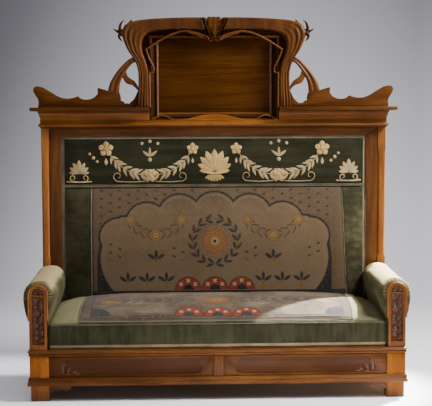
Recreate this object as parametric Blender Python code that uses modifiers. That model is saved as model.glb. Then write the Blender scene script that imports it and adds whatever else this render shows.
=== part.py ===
"""High-back bench with two plinth drawers, rolled arms and a carved crest.

+X is the right-hand side as one looks at the front, the front faces -Y and Z is up.
The origin is on the floor, under the middle of the bench. All sizes are in metres.
"""
from math import cos, pi, radians, sin

import bmesh
import bpy
from mathutils import Matrix, Vector

# Driving dimensions
BODY_WIDTH = 2.060
DEPTH = 0.660
FRONT_LEG_HEIGHT = 0.246
SEAT_RAIL_HEIGHT = 0.035
SEAT_EDGE_HEIGHT = 0.147
SEAT_CROWN = 0.072
ARM_STUMP_HEIGHT = 0.351
REAR_POST_HEIGHT = 1.475
ENTABLATURE_HEIGHT = 0.0415
CORNICE_HEIGHT = 0.082
CREST_HEIGHT = 0.530

# Fits
CLEAR = 0.0003
DRAWER_PLAY = 0.0015
RUNNER_PLAY = 0.0004
CUT_OVERRUN = 0.010
WELD_DISTANCE = 0.00005

# Sections that several pieces share
LEG_WIDTH = 0.104
LEG_DEPTH = 0.070
FOOT_HEIGHT = 0.0865
REAR_POST_WIDTH = 0.047
REAR_POST_DEPTH = 0.044
BASE_MOULDING_OUT = 0.012
BASE_MOULDING_HEIGHT = 0.0445
SEAT_RAIL_OUT = 0.010
SEAT_RAIL_WIDTH = 0.070
DRAWER_RAIL_THICKNESS = 0.030
SIDE_PANEL_THICKNESS = 0.020
SIDE_PANEL_SETBACK = 0.003
CENTRE_STILE_WIDTH = 0.055
BACK_BOARD_THICKNESS = 0.010
BACK_FRAME_SIDE_WIDTH = 0.071
BACK_FRAME_TOP_HEIGHT = 0.0475
FRIEZE_HEIGHT = 0.300
BACK_PAD_PROUD = 0.036
ARM_STUMP_WIDTH = 0.095
ARM_STUMP_THICKNESS = 0.030
ARM_STUMP_SETBACK = 0.002
SEAT_TO_STUMP_GAP = 0.008
WEBBING_THICKNESS = 0.003
CORNICE_PROUD = 0.030
CREST_PROUD = 0.040
CREST_DEPTH = 0.055
NICHE_HALF_WIDTH = 0.385
NICHE_BACK_THICKNESS = 0.014
NICHE_FRONT_SETBACK = 0.020
NICHE_TOP_SHARE = 0.772
NICHE_TOP_THICKNESS = 0.012
WING_THICKNESS = 0.022

# Planes and levels that follow from the sizes above
HALF_WIDTH = BODY_WIDTH / 2
FRONT_Y = -DEPTH / 2 + BASE_MOULDING_OUT
REAR_Y = DEPTH / 2
BACK_FACE_Y = REAR_Y - REAR_POST_DEPTH
BACK_BOARD_Y = REAR_Y - BACK_BOARD_THICKNESS
RAIL_Z = FRONT_LEG_HEIGHT + CLEAR
DECK_Z = RAIL_Z + SEAT_RAIL_HEIGHT
STRAP_Z = DECK_Z + CLEAR
STRAP_TOP_Z = STRAP_Z + WEBBING_THICKNESS
DRAWER_FLOOR_Z = FOOT_HEIGHT + BASE_MOULDING_HEIGHT
ENTABLATURE_Z = REAR_POST_HEIGHT + CLEAR
CORNICE_Z = ENTABLATURE_Z + ENTABLATURE_HEIGHT + CLEAR
CREST_Z = CORNICE_Z + CORNICE_HEIGHT + CLEAR
LEG_INNER = HALF_WIDTH - LEG_WIDTH
PANEL_INNER = HALF_WIDTH - SIDE_PANEL_SETBACK - SIDE_PANEL_THICKNESS
BACK_FRAME_OUTER = HALF_WIDTH - REAR_POST_WIDTH - DRAWER_PLAY
BACK_OPENING_HALF = BACK_FRAME_OUTER - BACK_FRAME_SIDE_WIDTH
BACK_OPENING_TOP = REAR_POST_HEIGHT - BACK_FRAME_TOP_HEIGHT
FRIEZE_Z = BACK_OPENING_TOP - FRIEZE_HEIGHT
STUMP_INNER = HALF_WIDTH - ARM_STUMP_WIDTH
STUMP_REAR_Y = FRONT_Y + ARM_STUMP_SETBACK + ARM_STUMP_THICKNESS
SEAT_HALF = STUMP_INNER - SEAT_TO_STUMP_GAP
SEAT_REAR_Y = BACK_FACE_Y - BACK_PAD_PROUD - CLEAR
CREST_FRONT_Y = BACK_FACE_Y - CREST_PROUD
CREST_MIDDLE_Y = CREST_FRONT_Y + CREST_DEPTH / 2
NICHE_BACK_Y = REAR_Y - NICHE_BACK_THICKNESS
NICHE_FRONT_Y = CREST_FRONT_Y + NICHE_FRONT_SETBACK
SIDES = (("left", -1), ("right", 1))
SMOOTH_ANGLE = radians(32)


def new_collection(name):
    group = bpy.data.collections.new(name)
    bpy.context.scene.collection.children.link(group)
    return group


for leftover in list(bpy.data.objects):
    bpy.data.objects.remove(leftover, do_unlink=True)
bench = new_collection("high_back_bench")
cutters = new_collection("cutters")


def finish(obj, colour, roughness):
    """Give an object a material of its own with the photographed colour and gloss."""
    material = bpy.data.materials.new(obj.name + "_finish")
    material.use_nodes = True
    surface = material.node_tree.nodes["Principled BSDF"]
    surface.inputs["Base Color"].default_value = (*colour, 1)
    surface.inputs["Roughness"].default_value = roughness
    surface.inputs["Metallic"].default_value = 0
    obj.data.materials.append(material)


def polished_walnut(obj):
    finish(obj, (0.30, 0.115, 0.030), 0.34)


def shaded_walnut(obj):
    finish(obj, (0.17, 0.062, 0.020), 0.42)


def inner_timber(obj):
    finish(obj, (0.36, 0.25, 0.14), 0.70)


def olive_velvet(obj):
    finish(obj, (0.085, 0.095, 0.040), 0.95)


def woven_cover(obj):
    finish(obj, (0.33, 0.27, 0.19), 0.92)


def jute(obj):
    finish(obj, (0.40, 0.30, 0.17), 0.95)


def settle(name, shape, look, parent=None):
    """Turn a shape modelled in place into an object whose origin is the middle of its box."""
    low = Vector([min(vert.co[axis] for vert in shape.verts) for axis in range(3)])
    high = Vector([max(vert.co[axis] for vert in shape.verts) for axis in range(3)])
    middle = (low + high) / 2
    bmesh.ops.translate(shape, vec=-middle, verts=shape.verts)
    bmesh.ops.recalc_face_normals(shape, faces=shape.faces)
    mesh = bpy.data.meshes.new(name)
    shape.to_mesh(mesh)
    shape.free()
    obj = bpy.data.objects.new(name, mesh)
    bench.objects.link(obj)
    obj.location = middle
    if parent:
        obj.parent = parent
        obj.location = middle - parent.location
    look(obj)
    return obj


def as_tool(shape):
    """Turn a shape into a wire-drawn helper that is used only by Boolean modifiers."""
    bmesh.ops.recalc_face_normals(shape, faces=shape.faces)
    mesh = bpy.data.meshes.new("tool")
    shape.to_mesh(mesh)
    shape.free()
    tool = bpy.data.objects.new("tool", mesh)
    cutters.objects.link(tool)
    tool.hide_render = True
    tool.display_type = "WIRE"
    return tool


def combine(obj, shape, operation, solver="EXACT"):
    step = obj.modifiers.new(operation.lower(), "BOOLEAN")
    step.operation = operation
    step.solver = solver
    step.object = as_tool(shape)


def soften(obj, width):
    step = obj.modifiers.new("softened edges", "BEVEL")
    step.width = width
    step.limit_method = "ANGLE"
    step.angle_limit = SMOOTH_ANGLE


def shade_round(obj):
    obj.data.shade_smooth()
    obj.data.set_sharp_from_angle(angle=SMOOTH_ANGLE)


def block(x_span, y_span, z_span):
    """A cuboid in place; a span's ends may come in either order."""
    low = Vector([min(span) for span in (x_span, y_span, z_span)])
    high = Vector([max(span) for span in (x_span, y_span, z_span)])
    shape = bmesh.new()
    bmesh.ops.create_cube(shape, size=1)
    bmesh.ops.scale(shape, vec=high - low, verts=shape.verts)
    bmesh.ops.translate(shape, vec=(low + high) / 2, verts=shape.verts)
    return shape


def slice_across(shape, axis, places):
    """Cut edge loops square to an axis (0, 1 or 2) at the given places."""
    for place in places:
        point = [0, 0, 0]
        normal = [0, 0, 0]
        point[axis] = place
        normal[axis] = 1
        geometry = list(shape.verts) + list(shape.edges) + list(shape.faces)
        bmesh.ops.bisect_plane(shape, geom=geometry, plane_co=point, plane_no=normal, dist=WELD_DISTANCE)


def trim(shape, point, normal):
    """Saw a shape off at a plane and close the cut."""
    geometry = list(shape.verts) + list(shape.edges) + list(shape.faces)
    bmesh.ops.bisect_plane(
        shape, geom=geometry, plane_co=point, plane_no=normal, dist=WELD_DISTANCE, clear_outer=True)
    bmesh.ops.holes_fill(shape, edges=[edge for edge in shape.edges if edge.is_boundary])


def board(name, x_span, y_span, z_span, look, edge=0, parent=None):
    obj = settle(name, block(x_span, y_span, z_span), look, parent)
    if edge:
        soften(obj, edge)
    return obj


def plate(outline, thickness, across, along, origin, holes=(), resolution=4):
    """Fill a flat outline of (across, along, handle type) points and thicken it about its plane."""
    curve = bpy.data.curves.new("outline", "CURVE")
    curve.dimensions = "2D"
    curve.fill_mode = "BOTH"
    curve.resolution_u = resolution
    curve.extrude = thickness / 2
    for loop in (outline, *holes):
        spline = curve.splines.new("BEZIER")
        spline.bezier_points.add(len(loop) - 1)
        spline.use_cyclic_u = True
        for knot, (right, up, handle) in zip(spline.bezier_points, loop):
            knot.co = (right, up, 0)
            knot.handle_left_type = handle
            knot.handle_right_type = handle
    drawn = bpy.data.objects.new("outline", curve)
    cutters.objects.link(drawn)
    evaluated = drawn.evaluated_get(bpy.context.evaluated_depsgraph_get())
    mesh = bpy.data.meshes.new_from_object(evaluated)
    shape = bmesh.new()
    shape.from_mesh(mesh)
    bmesh.ops.remove_doubles(shape, verts=shape.verts, dist=WELD_DISTANCE)
    bpy.data.objects.remove(drawn)
    bpy.data.curves.remove(curve)
    bpy.data.meshes.remove(mesh)
    through = Vector(across).cross(Vector(along))
    frame = Matrix((across, along, through)).transposed().to_4x4()
    frame.translation = origin
    bmesh.ops.transform(shape, matrix=frame, verts=shape.verts)
    bmesh.ops.recalc_face_normals(shape, faces=shape.faces)
    return shape


def corners(points):
    """Mark every point of an outline as a sharp corner."""
    return [(right, up, "VECTOR") for right, up in points]


def loft(rings):
    """Skin a row of rings with the same number of points and close both ends."""
    shape = bmesh.new()
    rows = [[shape.verts.new(point) for point in ring] for ring in rings]
    count = len(rows[0])
    for near, far in zip(rows, rows[1:]):
        for index in range(count):
            following = (index + 1) % count
            shape.faces.new((near[index], near[following], far[following], far[index]))
    shape.faces.new(rows[0])
    shape.faces.new(rows[-1])
    bmesh.ops.recalc_face_normals(shape, faces=shape.faces)
    return shape


def smooth_rows(rows, steps, closed=False):
    """Pass a Catmull-Rom curve through rows of numbers, with a few steps between rows."""
    count = len(rows)
    result = []
    for index in range(count if closed else count - 1):
        picks = [index - 1, index, index + 1, index + 2]
        picks = [pick % count if closed else min(max(pick, 0), count - 1) for pick in picks]
        before, start, end, after = (rows[pick] for pick in picks)
        for step in range(steps):
            t = step / steps
            weights = (
                (-t + 2 * t ** 2 - t ** 3) / 2,
                (2 - 5 * t ** 2 + 3 * t ** 3) / 2,
                (t + 4 * t ** 2 - 3 * t ** 3) / 2,
                (t ** 3 - t ** 2) / 2)
            values = zip(before, start, end, after)
            result.append(tuple(sum(w * v for w, v in zip(weights, group)) for group in values))
    if not closed:
        result.append(tuple(rows[-1]))
    return result


FOOT_SETBACK = 0.005
LEG_EDGE = 0.0015


def front_legs():
    """Square corner legs from the floor to the seat rail, slightly waisted below the moulding."""
    for side, way in SIDES:
        outer = way * HALF_WIDTH
        shape = block((outer, way * LEG_INNER), (FRONT_Y, FRONT_Y + LEG_DEPTH), (0, FRONT_LEG_HEIGHT))
        slice_across(shape, 2, (FOOT_HEIGHT, DRAWER_FLOOR_Z))
        for vert in shape.verts:
            if vert.co.z > FOOT_HEIGHT + CLEAR:
                continue
            if abs(vert.co.x - outer) < CLEAR:
                vert.co.x -= way * FOOT_SETBACK
            if abs(vert.co.y - FRONT_Y) < CLEAR:
                vert.co.y += FOOT_SETBACK
        leg = settle("front_leg_" + side, shape, polished_walnut)
        soften(leg, LEG_EDGE)


BRACKET_LENGTH = 0.118
BRACKET_DROP = 0.042
BRACKET_THICKNESS = 0.018
BRACKET_SETBACK = 0.008
BRACKET_OUTLINE_SHARES = (
    (0.00, 0.00, "VECTOR"), (1.00, 0.00, "VECTOR"), (1.02, 0.34, "AUTO"), (0.90, 0.70, "AUTO"),
    (0.74, 0.76, "AUTO"), (0.66, 0.62, "VECTOR"), (0.44, 0.66, "AUTO"), (0.16, 0.82, "AUTO"),
    (0.00, 1.00, "VECTOR"))


def foot_brackets():
    """Shaped brackets glued under the drawer rail on the inner side of each front foot."""
    for side, way in SIDES:
        outline = [
            (right * BRACKET_LENGTH, -down * BRACKET_DROP, handle)
            for right, down, handle in BRACKET_OUTLINE_SHARES]
        middle = FRONT_Y + BRACKET_SETBACK + BRACKET_THICKNESS / 2
        origin = (way * (LEG_INNER - CLEAR), middle, FOOT_HEIGHT - CLEAR)
        shape = plate(outline, BRACKET_THICKNESS, (-way, 0, 0), (0, 0, 1), origin)
        settle("foot_bracket_" + side, shape, shaded_walnut)


BASE_PROFILE_SHARES = (
    (0.00, 0.00), (0.80, 0.00), (1.00, 0.10), (1.00, 0.38), (0.72, 0.46), (0.50, 0.50),
    (0.62, 0.58), (0.68, 0.72), (0.62, 0.86), (0.40, 0.97), (0.00, 1.00))


def mitre_off(shape, way, keep_front):
    """Saw one 45 degree corner of a frame that turns from the front to a side."""
    facing = 1 if keep_front else -1
    point = (way * (HALF_WIDTH - facing * CLEAR / 2), FRONT_Y, 0)
    trim(shape, point, (facing * way, facing, 0))


def base_mouldings():
    """A two-tier moulding planted round the legs and the drawer rail, mitred at the front."""
    out = BASE_MOULDING_OUT - CLEAR
    profile = corners([(a * out, b * BASE_MOULDING_HEIGHT) for a, b in BASE_PROFILE_SHARES])
    run = 2 * (HALF_WIDTH + BASE_MOULDING_OUT + CUT_OVERRUN)
    origin = (0, FRONT_Y - CLEAR, FOOT_HEIGHT)
    shape = plate(profile, run, (0, -1, 0), (0, 0, 1), origin)
    mitre_off(shape, -1, True)
    mitre_off(shape, 1, True)
    settle("base_moulding_front", shape, polished_walnut)
    run = DEPTH + CUT_OVERRUN
    for side, way in SIDES:
        origin = (way * (HALF_WIDTH + CLEAR), REAR_Y - run / 2, FOOT_HEIGHT)
        shape = plate(profile, run, (way, 0, 0), (0, 0, 1), origin)
        mitre_off(shape, way, False)
        settle("base_moulding_" + side, shape, polished_walnut)


CENTRE_STILE_THICKNESS = 0.022


def case_front_and_sides():
    """The drawer rail, the stile between the drawers and the boards that close the sides."""
    reach = LEG_INNER - CLEAR
    board(
        "drawer_rail", (-reach, reach), (FRONT_Y, FRONT_Y + DRAWER_RAIL_THICKNESS),
        (FOOT_HEIGHT, DRAWER_FLOOR_Z), polished_walnut)
    board(
        "centre_stile", (-CENTRE_STILE_WIDTH / 2, CENTRE_STILE_WIDTH / 2),
        (FRONT_Y, FRONT_Y + CENTRE_STILE_THICKNESS),
        (DRAWER_FLOOR_Z + CLEAR, FRONT_LEG_HEIGHT), polished_walnut, LEG_EDGE)
    for side, way in SIDES:
        board(
            "side_panel_" + side,
            (way * PANEL_INNER, way * (HALF_WIDTH - SIDE_PANEL_SETBACK)),
            (FRONT_Y + LEG_DEPTH + CLEAR, BACK_FACE_Y - CLEAR),
            (FOOT_HEIGHT, FRONT_LEG_HEIGHT), polished_walnut)


PARTITION_THICKNESS = 0.020
RUNNER_THICKNESS = 0.019
RUNNER_LEDGE = 0.019
GUIDE_HEIGHT = 0.030


def drawer_partition():
    """The upright board between the drawers, with a guide and a running ledge on each side."""
    web = PARTITION_THICKNESS / 2
    guide = CENTRE_STILE_WIDTH / 2
    ledge = guide + RUNNER_LEDGE
    floor = DRAWER_FLOOR_Z
    half = [
        (ledge, floor - RUNNER_THICKNESS), (ledge, floor), (guide, floor),
        (guide, floor + GUIDE_HEIGHT), (web, floor + GUIDE_HEIGHT), (web, FRONT_LEG_HEIGHT)]
    outline = half + [(-right, up) for right, up in reversed(half)]
    front = FRONT_Y + DRAWER_RAIL_THICKNESS + CLEAR
    rear = BACK_BOARD_Y - CLEAR
    shape = plate(corners(outline), rear - front, (1, 0, 0), (0, 0, 1), (0, (front + rear) / 2, 0))
    settle("drawer_partition", shape, inner_timber)


def drawer_runners():
    """A grooved runner on each side panel that carries and guides the drawer's outer side."""
    floor = DRAWER_FLOOR_Z
    outer = PANEL_INNER - CLEAR
    ledge = LEG_INNER - RUNNER_LEDGE
    outline = (
        (outer, floor - RUNNER_THICKNESS), (ledge, floor - RUNNER_THICKNESS), (ledge, floor),
        (LEG_INNER, floor), (LEG_INNER, floor + GUIDE_HEIGHT), (outer, floor + GUIDE_HEIGHT))
    front = FRONT_Y + LEG_DEPTH + CLEAR
    rear = BACK_FACE_Y - CLEAR
    for side, way in SIDES:
        shape = plate(corners(outline), rear - front, (way, 0, 0), (0, 0, 1), (0, (front + rear) / 2, 0))
        settle("drawer_runner_" + side, shape, inner_timber)


DRAWER_DEPTH = 0.540
DRAWER_SIDE_TOP_GAP = 0.019
DRAWER_BOARD = 0.012
DRAWER_BOTTOM_THICKNESS = 0.006
DRAWER_BOTTOM_LIFT = 0.008
DRAWER_FRONT_THICKNESS = 0.022
DRAWER_FRONT_SETBACK = 0.004
DRAWER_FIELD_DEPTH = 0.005
DRAWER_FIELD_INSET = 0.064
DRAWER_FIELD_HOOK = 0.048
DRAWER_FIELD_HALF_END_SHARES = (
    (0.70, 0.885, "VECTOR"), (0.45, 0.78, "AUTO"), (0.55, 0.68, "VECTOR"), (0.20, 0.62, "AUTO"),
    (0.00, 0.42, "AUTO"), (0.16, 0.20, "AUTO"), (0.42, 0.19, "AUTO"), (0.62, 0.115, "VECTOR"))


def drawer_front(side, x_span, z_span, parent):
    """A drawer front with a long sunken field whose ends hook like a whiplash line."""
    front = FRONT_Y + DRAWER_FRONT_SETBACK
    shape = block(x_span, (front, front + DRAWER_FRONT_THICKNESS), z_span)
    obj = settle("drawer_front_" + side, shape, polished_walnut, parent)
    left = min(x_span) + DRAWER_FIELD_INSET
    right = max(x_span) - DRAWER_FIELD_INSET
    height = z_span[1] - z_span[0]
    near = [
        (left + a * DRAWER_FIELD_HOOK, z_span[0] + b * height, handle)
        for a, b, handle in DRAWER_FIELD_HALF_END_SHARES]
    far = [
        (right - a * DRAWER_FIELD_HOOK, z_span[0] + b * height, handle)
        for a, b, handle in reversed(DRAWER_FIELD_HALF_END_SHARES)]
    reach = DRAWER_FIELD_DEPTH + CUT_OVERRUN
    middle = front + DRAWER_FIELD_DEPTH - reach / 2
    combine(obj, plate(near + far, reach, (1, 0, 0), (0, 0, 1), (0, middle, 0)), "DIFFERENCE")


def drawers():
    """Two drawers that slide out of the plinth towards the sitter; the fronts serve as grips."""
    floor = DRAWER_FLOOR_Z + RUNNER_PLAY
    for side, way in SIDES:
        inner = CENTRE_STILE_WIDTH / 2 + DRAWER_PLAY
        outer = LEG_INNER - DRAWER_PLAY
        front = FRONT_Y + DRAWER_FRONT_SETBACK
        behind = front + DRAWER_FRONT_THICKNESS + CLEAR
        rear = front + DRAWER_DEPTH
        slide = bpy.data.objects.new("drawer_" + side + "_slide", None)
        bench.objects.link(slide)
        slide.location = (way * (inner + outer) / 2, front, floor)
        x_span = (way * inner, way * outer)
        drawer_front(side, x_span, (floor, FRONT_LEG_HEIGHT - DRAWER_PLAY), slide)
        top = FRONT_LEG_HEIGHT - DRAWER_SIDE_TOP_GAP
        between = (way * (inner + DRAWER_BOARD + CLEAR), way * (outer - DRAWER_BOARD - CLEAR))
        board(
            "drawer_side_outer_" + side, (way * outer, way * (outer - DRAWER_BOARD)),
            (behind, rear), (floor, top), inner_timber, parent=slide)
        board(
            "drawer_side_inner_" + side, (way * inner, way * (inner + DRAWER_BOARD)),
            (behind, rear), (floor, top), inner_timber, parent=slide)
        board(
            "drawer_back_" + side, between, (rear - DRAWER_BOARD, rear),
            (floor + DRAWER_BOTTOM_LIFT, top), inner_timber, parent=slide)
        bottom = floor + DRAWER_BOTTOM_LIFT
        board(
            "drawer_bottom_" + side, between, (behind, rear - DRAWER_BOARD - CLEAR),
            (bottom, bottom + DRAWER_BOTTOM_THICKNESS), inner_timber, parent=slide)


SEAT_RAIL_NOSE_SHARES = (
    (-0.20, 0.00), (0.00, 0.05), (0.55, 0.20), (0.60, 0.33), (0.28, 0.42), (0.42, 0.60),
    (0.85, 0.70), (1.00, 0.77), (0.92, 0.84), (0.35, 0.96), (-0.10, 1.00))
REAR_RAIL_FORWARD = 0.065


def seat_rails():
    """The moulded frame on top of the legs that carries the webbing, the arms and the seat."""
    nose = [(a * SEAT_RAIL_OUT, b * SEAT_RAIL_HEIGHT) for a, b in SEAT_RAIL_NOSE_SHARES]
    profile = corners([(-SEAT_RAIL_WIDTH, 0), *nose, (-SEAT_RAIL_WIDTH, SEAT_RAIL_HEIGHT)])
    run = 2 * (HALF_WIDTH + SEAT_RAIL_OUT + CUT_OVERRUN)
    shape = plate(profile, run, (0, -1, 0), (0, 0, 1), (0, FRONT_Y, RAIL_Z))
    mitre_off(shape, -1, True)
    mitre_off(shape, 1, True)
    settle("seat_rail_front", shape, polished_walnut)
    rear = BACK_FACE_Y - CLEAR
    run = rear - FRONT_Y + SEAT_RAIL_OUT + CUT_OVERRUN
    for side, way in SIDES:
        origin = (way * HALF_WIDTH, rear - run / 2, RAIL_Z)
        shape = plate(profile, run, (way, 0, 0), (0, 0, 1), origin)
        mitre_off(shape, way, False)
        settle("seat_rail_" + side, shape, polished_walnut)
    reach = HALF_WIDTH - SEAT_RAIL_WIDTH - CLEAR
    board(
        "seat_rail_rear", (-reach, reach), (BACK_FACE_Y - REAR_RAIL_FORWARD, BACK_BOARD_Y - CLEAR),
        (RAIL_Z, DECK_Z), inner_timber)


STRAP_WIDTH = 0.050
CROSS_STRAP_COUNT = 13
LONG_STRAP_COUNT = 3
STRAP_LAP = 0.026


def seat_webbing():
    """Jute straps laced into a lattice and tacked on the seat rails."""
    half = HALF_WIDTH - SEAT_RAIL_WIDTH + STRAP_LAP
    front = FRONT_Y + SEAT_RAIL_WIDTH - STRAP_LAP
    rear = SEAT_REAR_Y - CLEAR
    shape = bmesh.new()
    bmesh.ops.create_grid(shape, x_segments=1, y_segments=1, size=1)
    bmesh.ops.scale(shape, vec=(half, (rear - front) / 2, 1), verts=shape.verts)
    middle = (0, (front + rear) / 2, STRAP_Z + WEBBING_THICKNESS / 2)
    bmesh.ops.translate(shape, vec=middle, verts=shape.verts)
    cross_gap = (2 * half - STRAP_WIDTH) / (CROSS_STRAP_COUNT - 1)
    long_gap = (rear - front - STRAP_WIDTH) / (LONG_STRAP_COUNT - 1)
    cross = [-half + index * cross_gap for index in range(CROSS_STRAP_COUNT)]
    along = [front + index * long_gap for index in range(LONG_STRAP_COUNT)]
    slice_across(shape, 0, cross[1:] + [place + STRAP_WIDTH for place in cross[:-1]])
    slice_across(shape, 1, along[1:] + [place + STRAP_WIDTH for place in along[:-1]])
    open_faces = []
    for face in shape.faces:
        middle = face.calc_center_median()
        on_cross = any(place < middle.x < place + STRAP_WIDTH for place in cross)
        on_long = any(place < middle.y < place + STRAP_WIDTH for place in along)
        if not on_cross and not on_long:
            open_faces.append(face)
    bmesh.ops.delete(shape, geom=open_faces, context="FACES")
    obj = settle("seat_webbing", shape, jute)
    step = obj.modifiers.new("strap thickness", "SOLIDIFY")
    step.thickness = WEBBING_THICKNESS
    step.offset = 0


PANEL_SEAM_FROM_EDGE = 0.158
SEAM_HALF_WIDTH = 0.010
SEAM_DIP = 0.004
SEAT_FACE_SETBACK = 0.004
SEAT_FACE_BULGE = 0.004
SEAT_EDGE_ROUNDING = 0.007
SEAT_SEAM_FROM_FRONT = 0.030
SEAT_ACROSS_SHARES = (0.18, 0.36, 0.54, 0.70, 0.90, 0.965)
SEAT_BACKWARD_SHARES = (0.015, 0.13, 0.24, 0.40, 0.58, 0.78, 0.92)
SEAT_UPWARD_SHARES = (0.12, 0.45, 0.80, 0.95)
SEAT_END_CROWN_SHARE = 0.30
SEAT_END_FALL_POWER = 4
SEAT_FACE_FALL_POWER = 8
SEAT_CREST_SHARE = 0.55
SEAT_REAR_FALL_SHARE = 0.07


def seam_dip(distance):
    """Depth of a sewn channel at a distance from its line."""
    return SEAM_DIP * max(0, 1 - abs(distance) / SEAM_HALF_WIDTH)


def seat_pad():
    """The sprung and stuffed seat: a boxed velvet front, a crowned top and sewn panel seams."""
    front = FRONT_Y + SEAT_FACE_SETBACK
    floor = STRAP_TOP_Z + CLEAR
    edge_z = DECK_Z + SEAT_EDGE_HEIGHT
    depth = SEAT_REAR_Y - front
    seam_x = SEAT_HALF - PANEL_SEAM_FROM_EDGE
    seam_y = front + SEAT_SEAM_FROM_FRONT
    shape = block((-SEAT_HALF, SEAT_HALF), (front, SEAT_REAR_Y), (floor, edge_z))
    places = [share * SEAT_HALF for share in SEAT_ACROSS_SHARES]
    places += [seam_x - SEAM_HALF_WIDTH, seam_x, seam_x + SEAM_HALF_WIDTH]
    slice_across(shape, 0, [0] + places + [-place for place in places])
    slice_across(shape, 1, [front + share * depth for share in SEAT_BACKWARD_SHARES])
    slice_across(shape, 1, (seam_y - SEAM_HALF_WIDTH, seam_y, seam_y + SEAM_HALF_WIDTH))
    slice_across(shape, 2, [floor + share * (edge_z - floor) for share in SEAT_UPWARD_SHARES])
    for vert in shape.verts:
        across = abs(vert.co.x) / SEAT_HALF
        back = (vert.co.y - front) / depth
        up = (vert.co.z - floor) / (edge_z - floor)
        on_top = vert.co.z > edge_z - CLEAR
        if vert.co.y < front + CLEAR:
            vert.co.y -= SEAT_FACE_BULGE * sin(pi * up) * (1 - across ** SEAT_FACE_FALL_POWER)
            vert.co.y += SEAT_EDGE_ROUNDING if on_top else 0
        if across > 1 - CLEAR and on_top:
            vert.co.x *= 1 - SEAT_EDGE_ROUNDING / SEAT_HALF
        if on_top:
            fall = across ** SEAT_END_FALL_POWER
            ends = SEAT_END_CROWN_SHARE + (1 - SEAT_END_CROWN_SHARE) * (1 - fall)
            rise = sin(min(back / SEAT_CREST_SHARE, 1) * pi / 2)
            rise -= SEAT_REAR_FALL_SHARE * max(0, back - SEAT_CREST_SHARE)
            dip = seam_dip(abs(vert.co.x) - seam_x) if vert.co.y > seam_y else 0
            dip = max(dip, seam_dip(vert.co.y - seam_y) if abs(vert.co.x) < seam_x else 0)
            vert.co.z += SEAT_CROWN * ends * rise - dip
    shade_round(settle("seat_pad", shape, woven_cover))


BACK_EDGE_SETBACK = 0.006
FRIEZE_PROUD = 0.014
BACK_ACROSS_SHARES = (0.25, 0.50, 0.70, 0.93, 0.985)
BACK_UPWARD_SHARES = (0.20, 0.45, 0.70, 0.88, 0.96, 0.99)
FRIEZE_UPWARD_SHARES = (0.02, 0.10, 0.30, 0.70, 0.90, 0.98)
PAD_ACROSS_FALL_POWER = 14
PAD_UPWARD_FALL_POWER = 12


def wall_pad(name, z_span, proud, upward, open_below, seam, look):
    """A flat pad nailed in the back frame, crowned towards the middle."""
    half = BACK_OPENING_HALF - CLEAR
    edge_y = BACK_FACE_Y + BACK_EDGE_SETBACK
    shape = block((-half, half), (edge_y, BACK_BOARD_Y - CLEAR), z_span)
    height = z_span[1] - z_span[0]
    places = [share * half for share in BACK_ACROSS_SHARES]
    if seam:
        places += [seam - SEAM_HALF_WIDTH, seam, seam + SEAM_HALF_WIDTH]
    slice_across(shape, 0, [0] + places + [-place for place in places])
    slice_across(shape, 2, [z_span[0] + share * height for share in upward])
    for vert in shape.verts:
        if vert.co.y > edge_y + CLEAR:
            continue
        across = abs(vert.co.x) / half
        up = (vert.co.z - z_span[0]) / height
        if not open_below:
            up = abs(2 * up - 1)
        crown = (1 - across ** PAD_ACROSS_FALL_POWER) * (1 - up ** PAD_UPWARD_FALL_POWER)
        dip = seam_dip(abs(vert.co.x) - seam) if seam else 0
        vert.co.y -= (proud + BACK_EDGE_SETBACK) * crown - dip * crown
    shade_round(settle(name, shape, look))


def back_pads():
    """The main back pad, which runs down behind the seat, and the velvet frieze pad above it."""
    seam = SEAT_HALF - PANEL_SEAM_FROM_EDGE
    wall_pad(
        "back_pad", (DECK_Z + CLEAR, FRIEZE_Z - CLEAR), BACK_PAD_PROUD - CLEAR,
        BACK_UPWARD_SHARES, True, seam, woven_cover)
    wall_pad(
        "frieze_pad", (FRIEZE_Z, BACK_OPENING_TOP - CLEAR), FRIEZE_PROUD,
        FRIEZE_UPWARD_SHARES, False, 0, olive_velvet)


STUMP_ARCH_STEPS = 12
STUMP_FIELD_MARGIN = 0.015
STUMP_FIELD_BOTTOM = 0.032
STUMP_FIELD_DEPTH = 0.006
STUMP_CROSS_BAR = 0.008
STUMP_FIELD_STEPS = 8


def arched_outline(width, height, steps):
    """A doorway outline that stands on z = 0 and ends in a half round."""
    radius = width / 2
    spring = height - radius
    arc = [
        (radius * cos(pi * step / steps), spring + radius * sin(pi * step / steps))
        for step in range(steps + 1)]
    return corners([(-radius, 0), (radius, 0), *arc])


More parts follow.
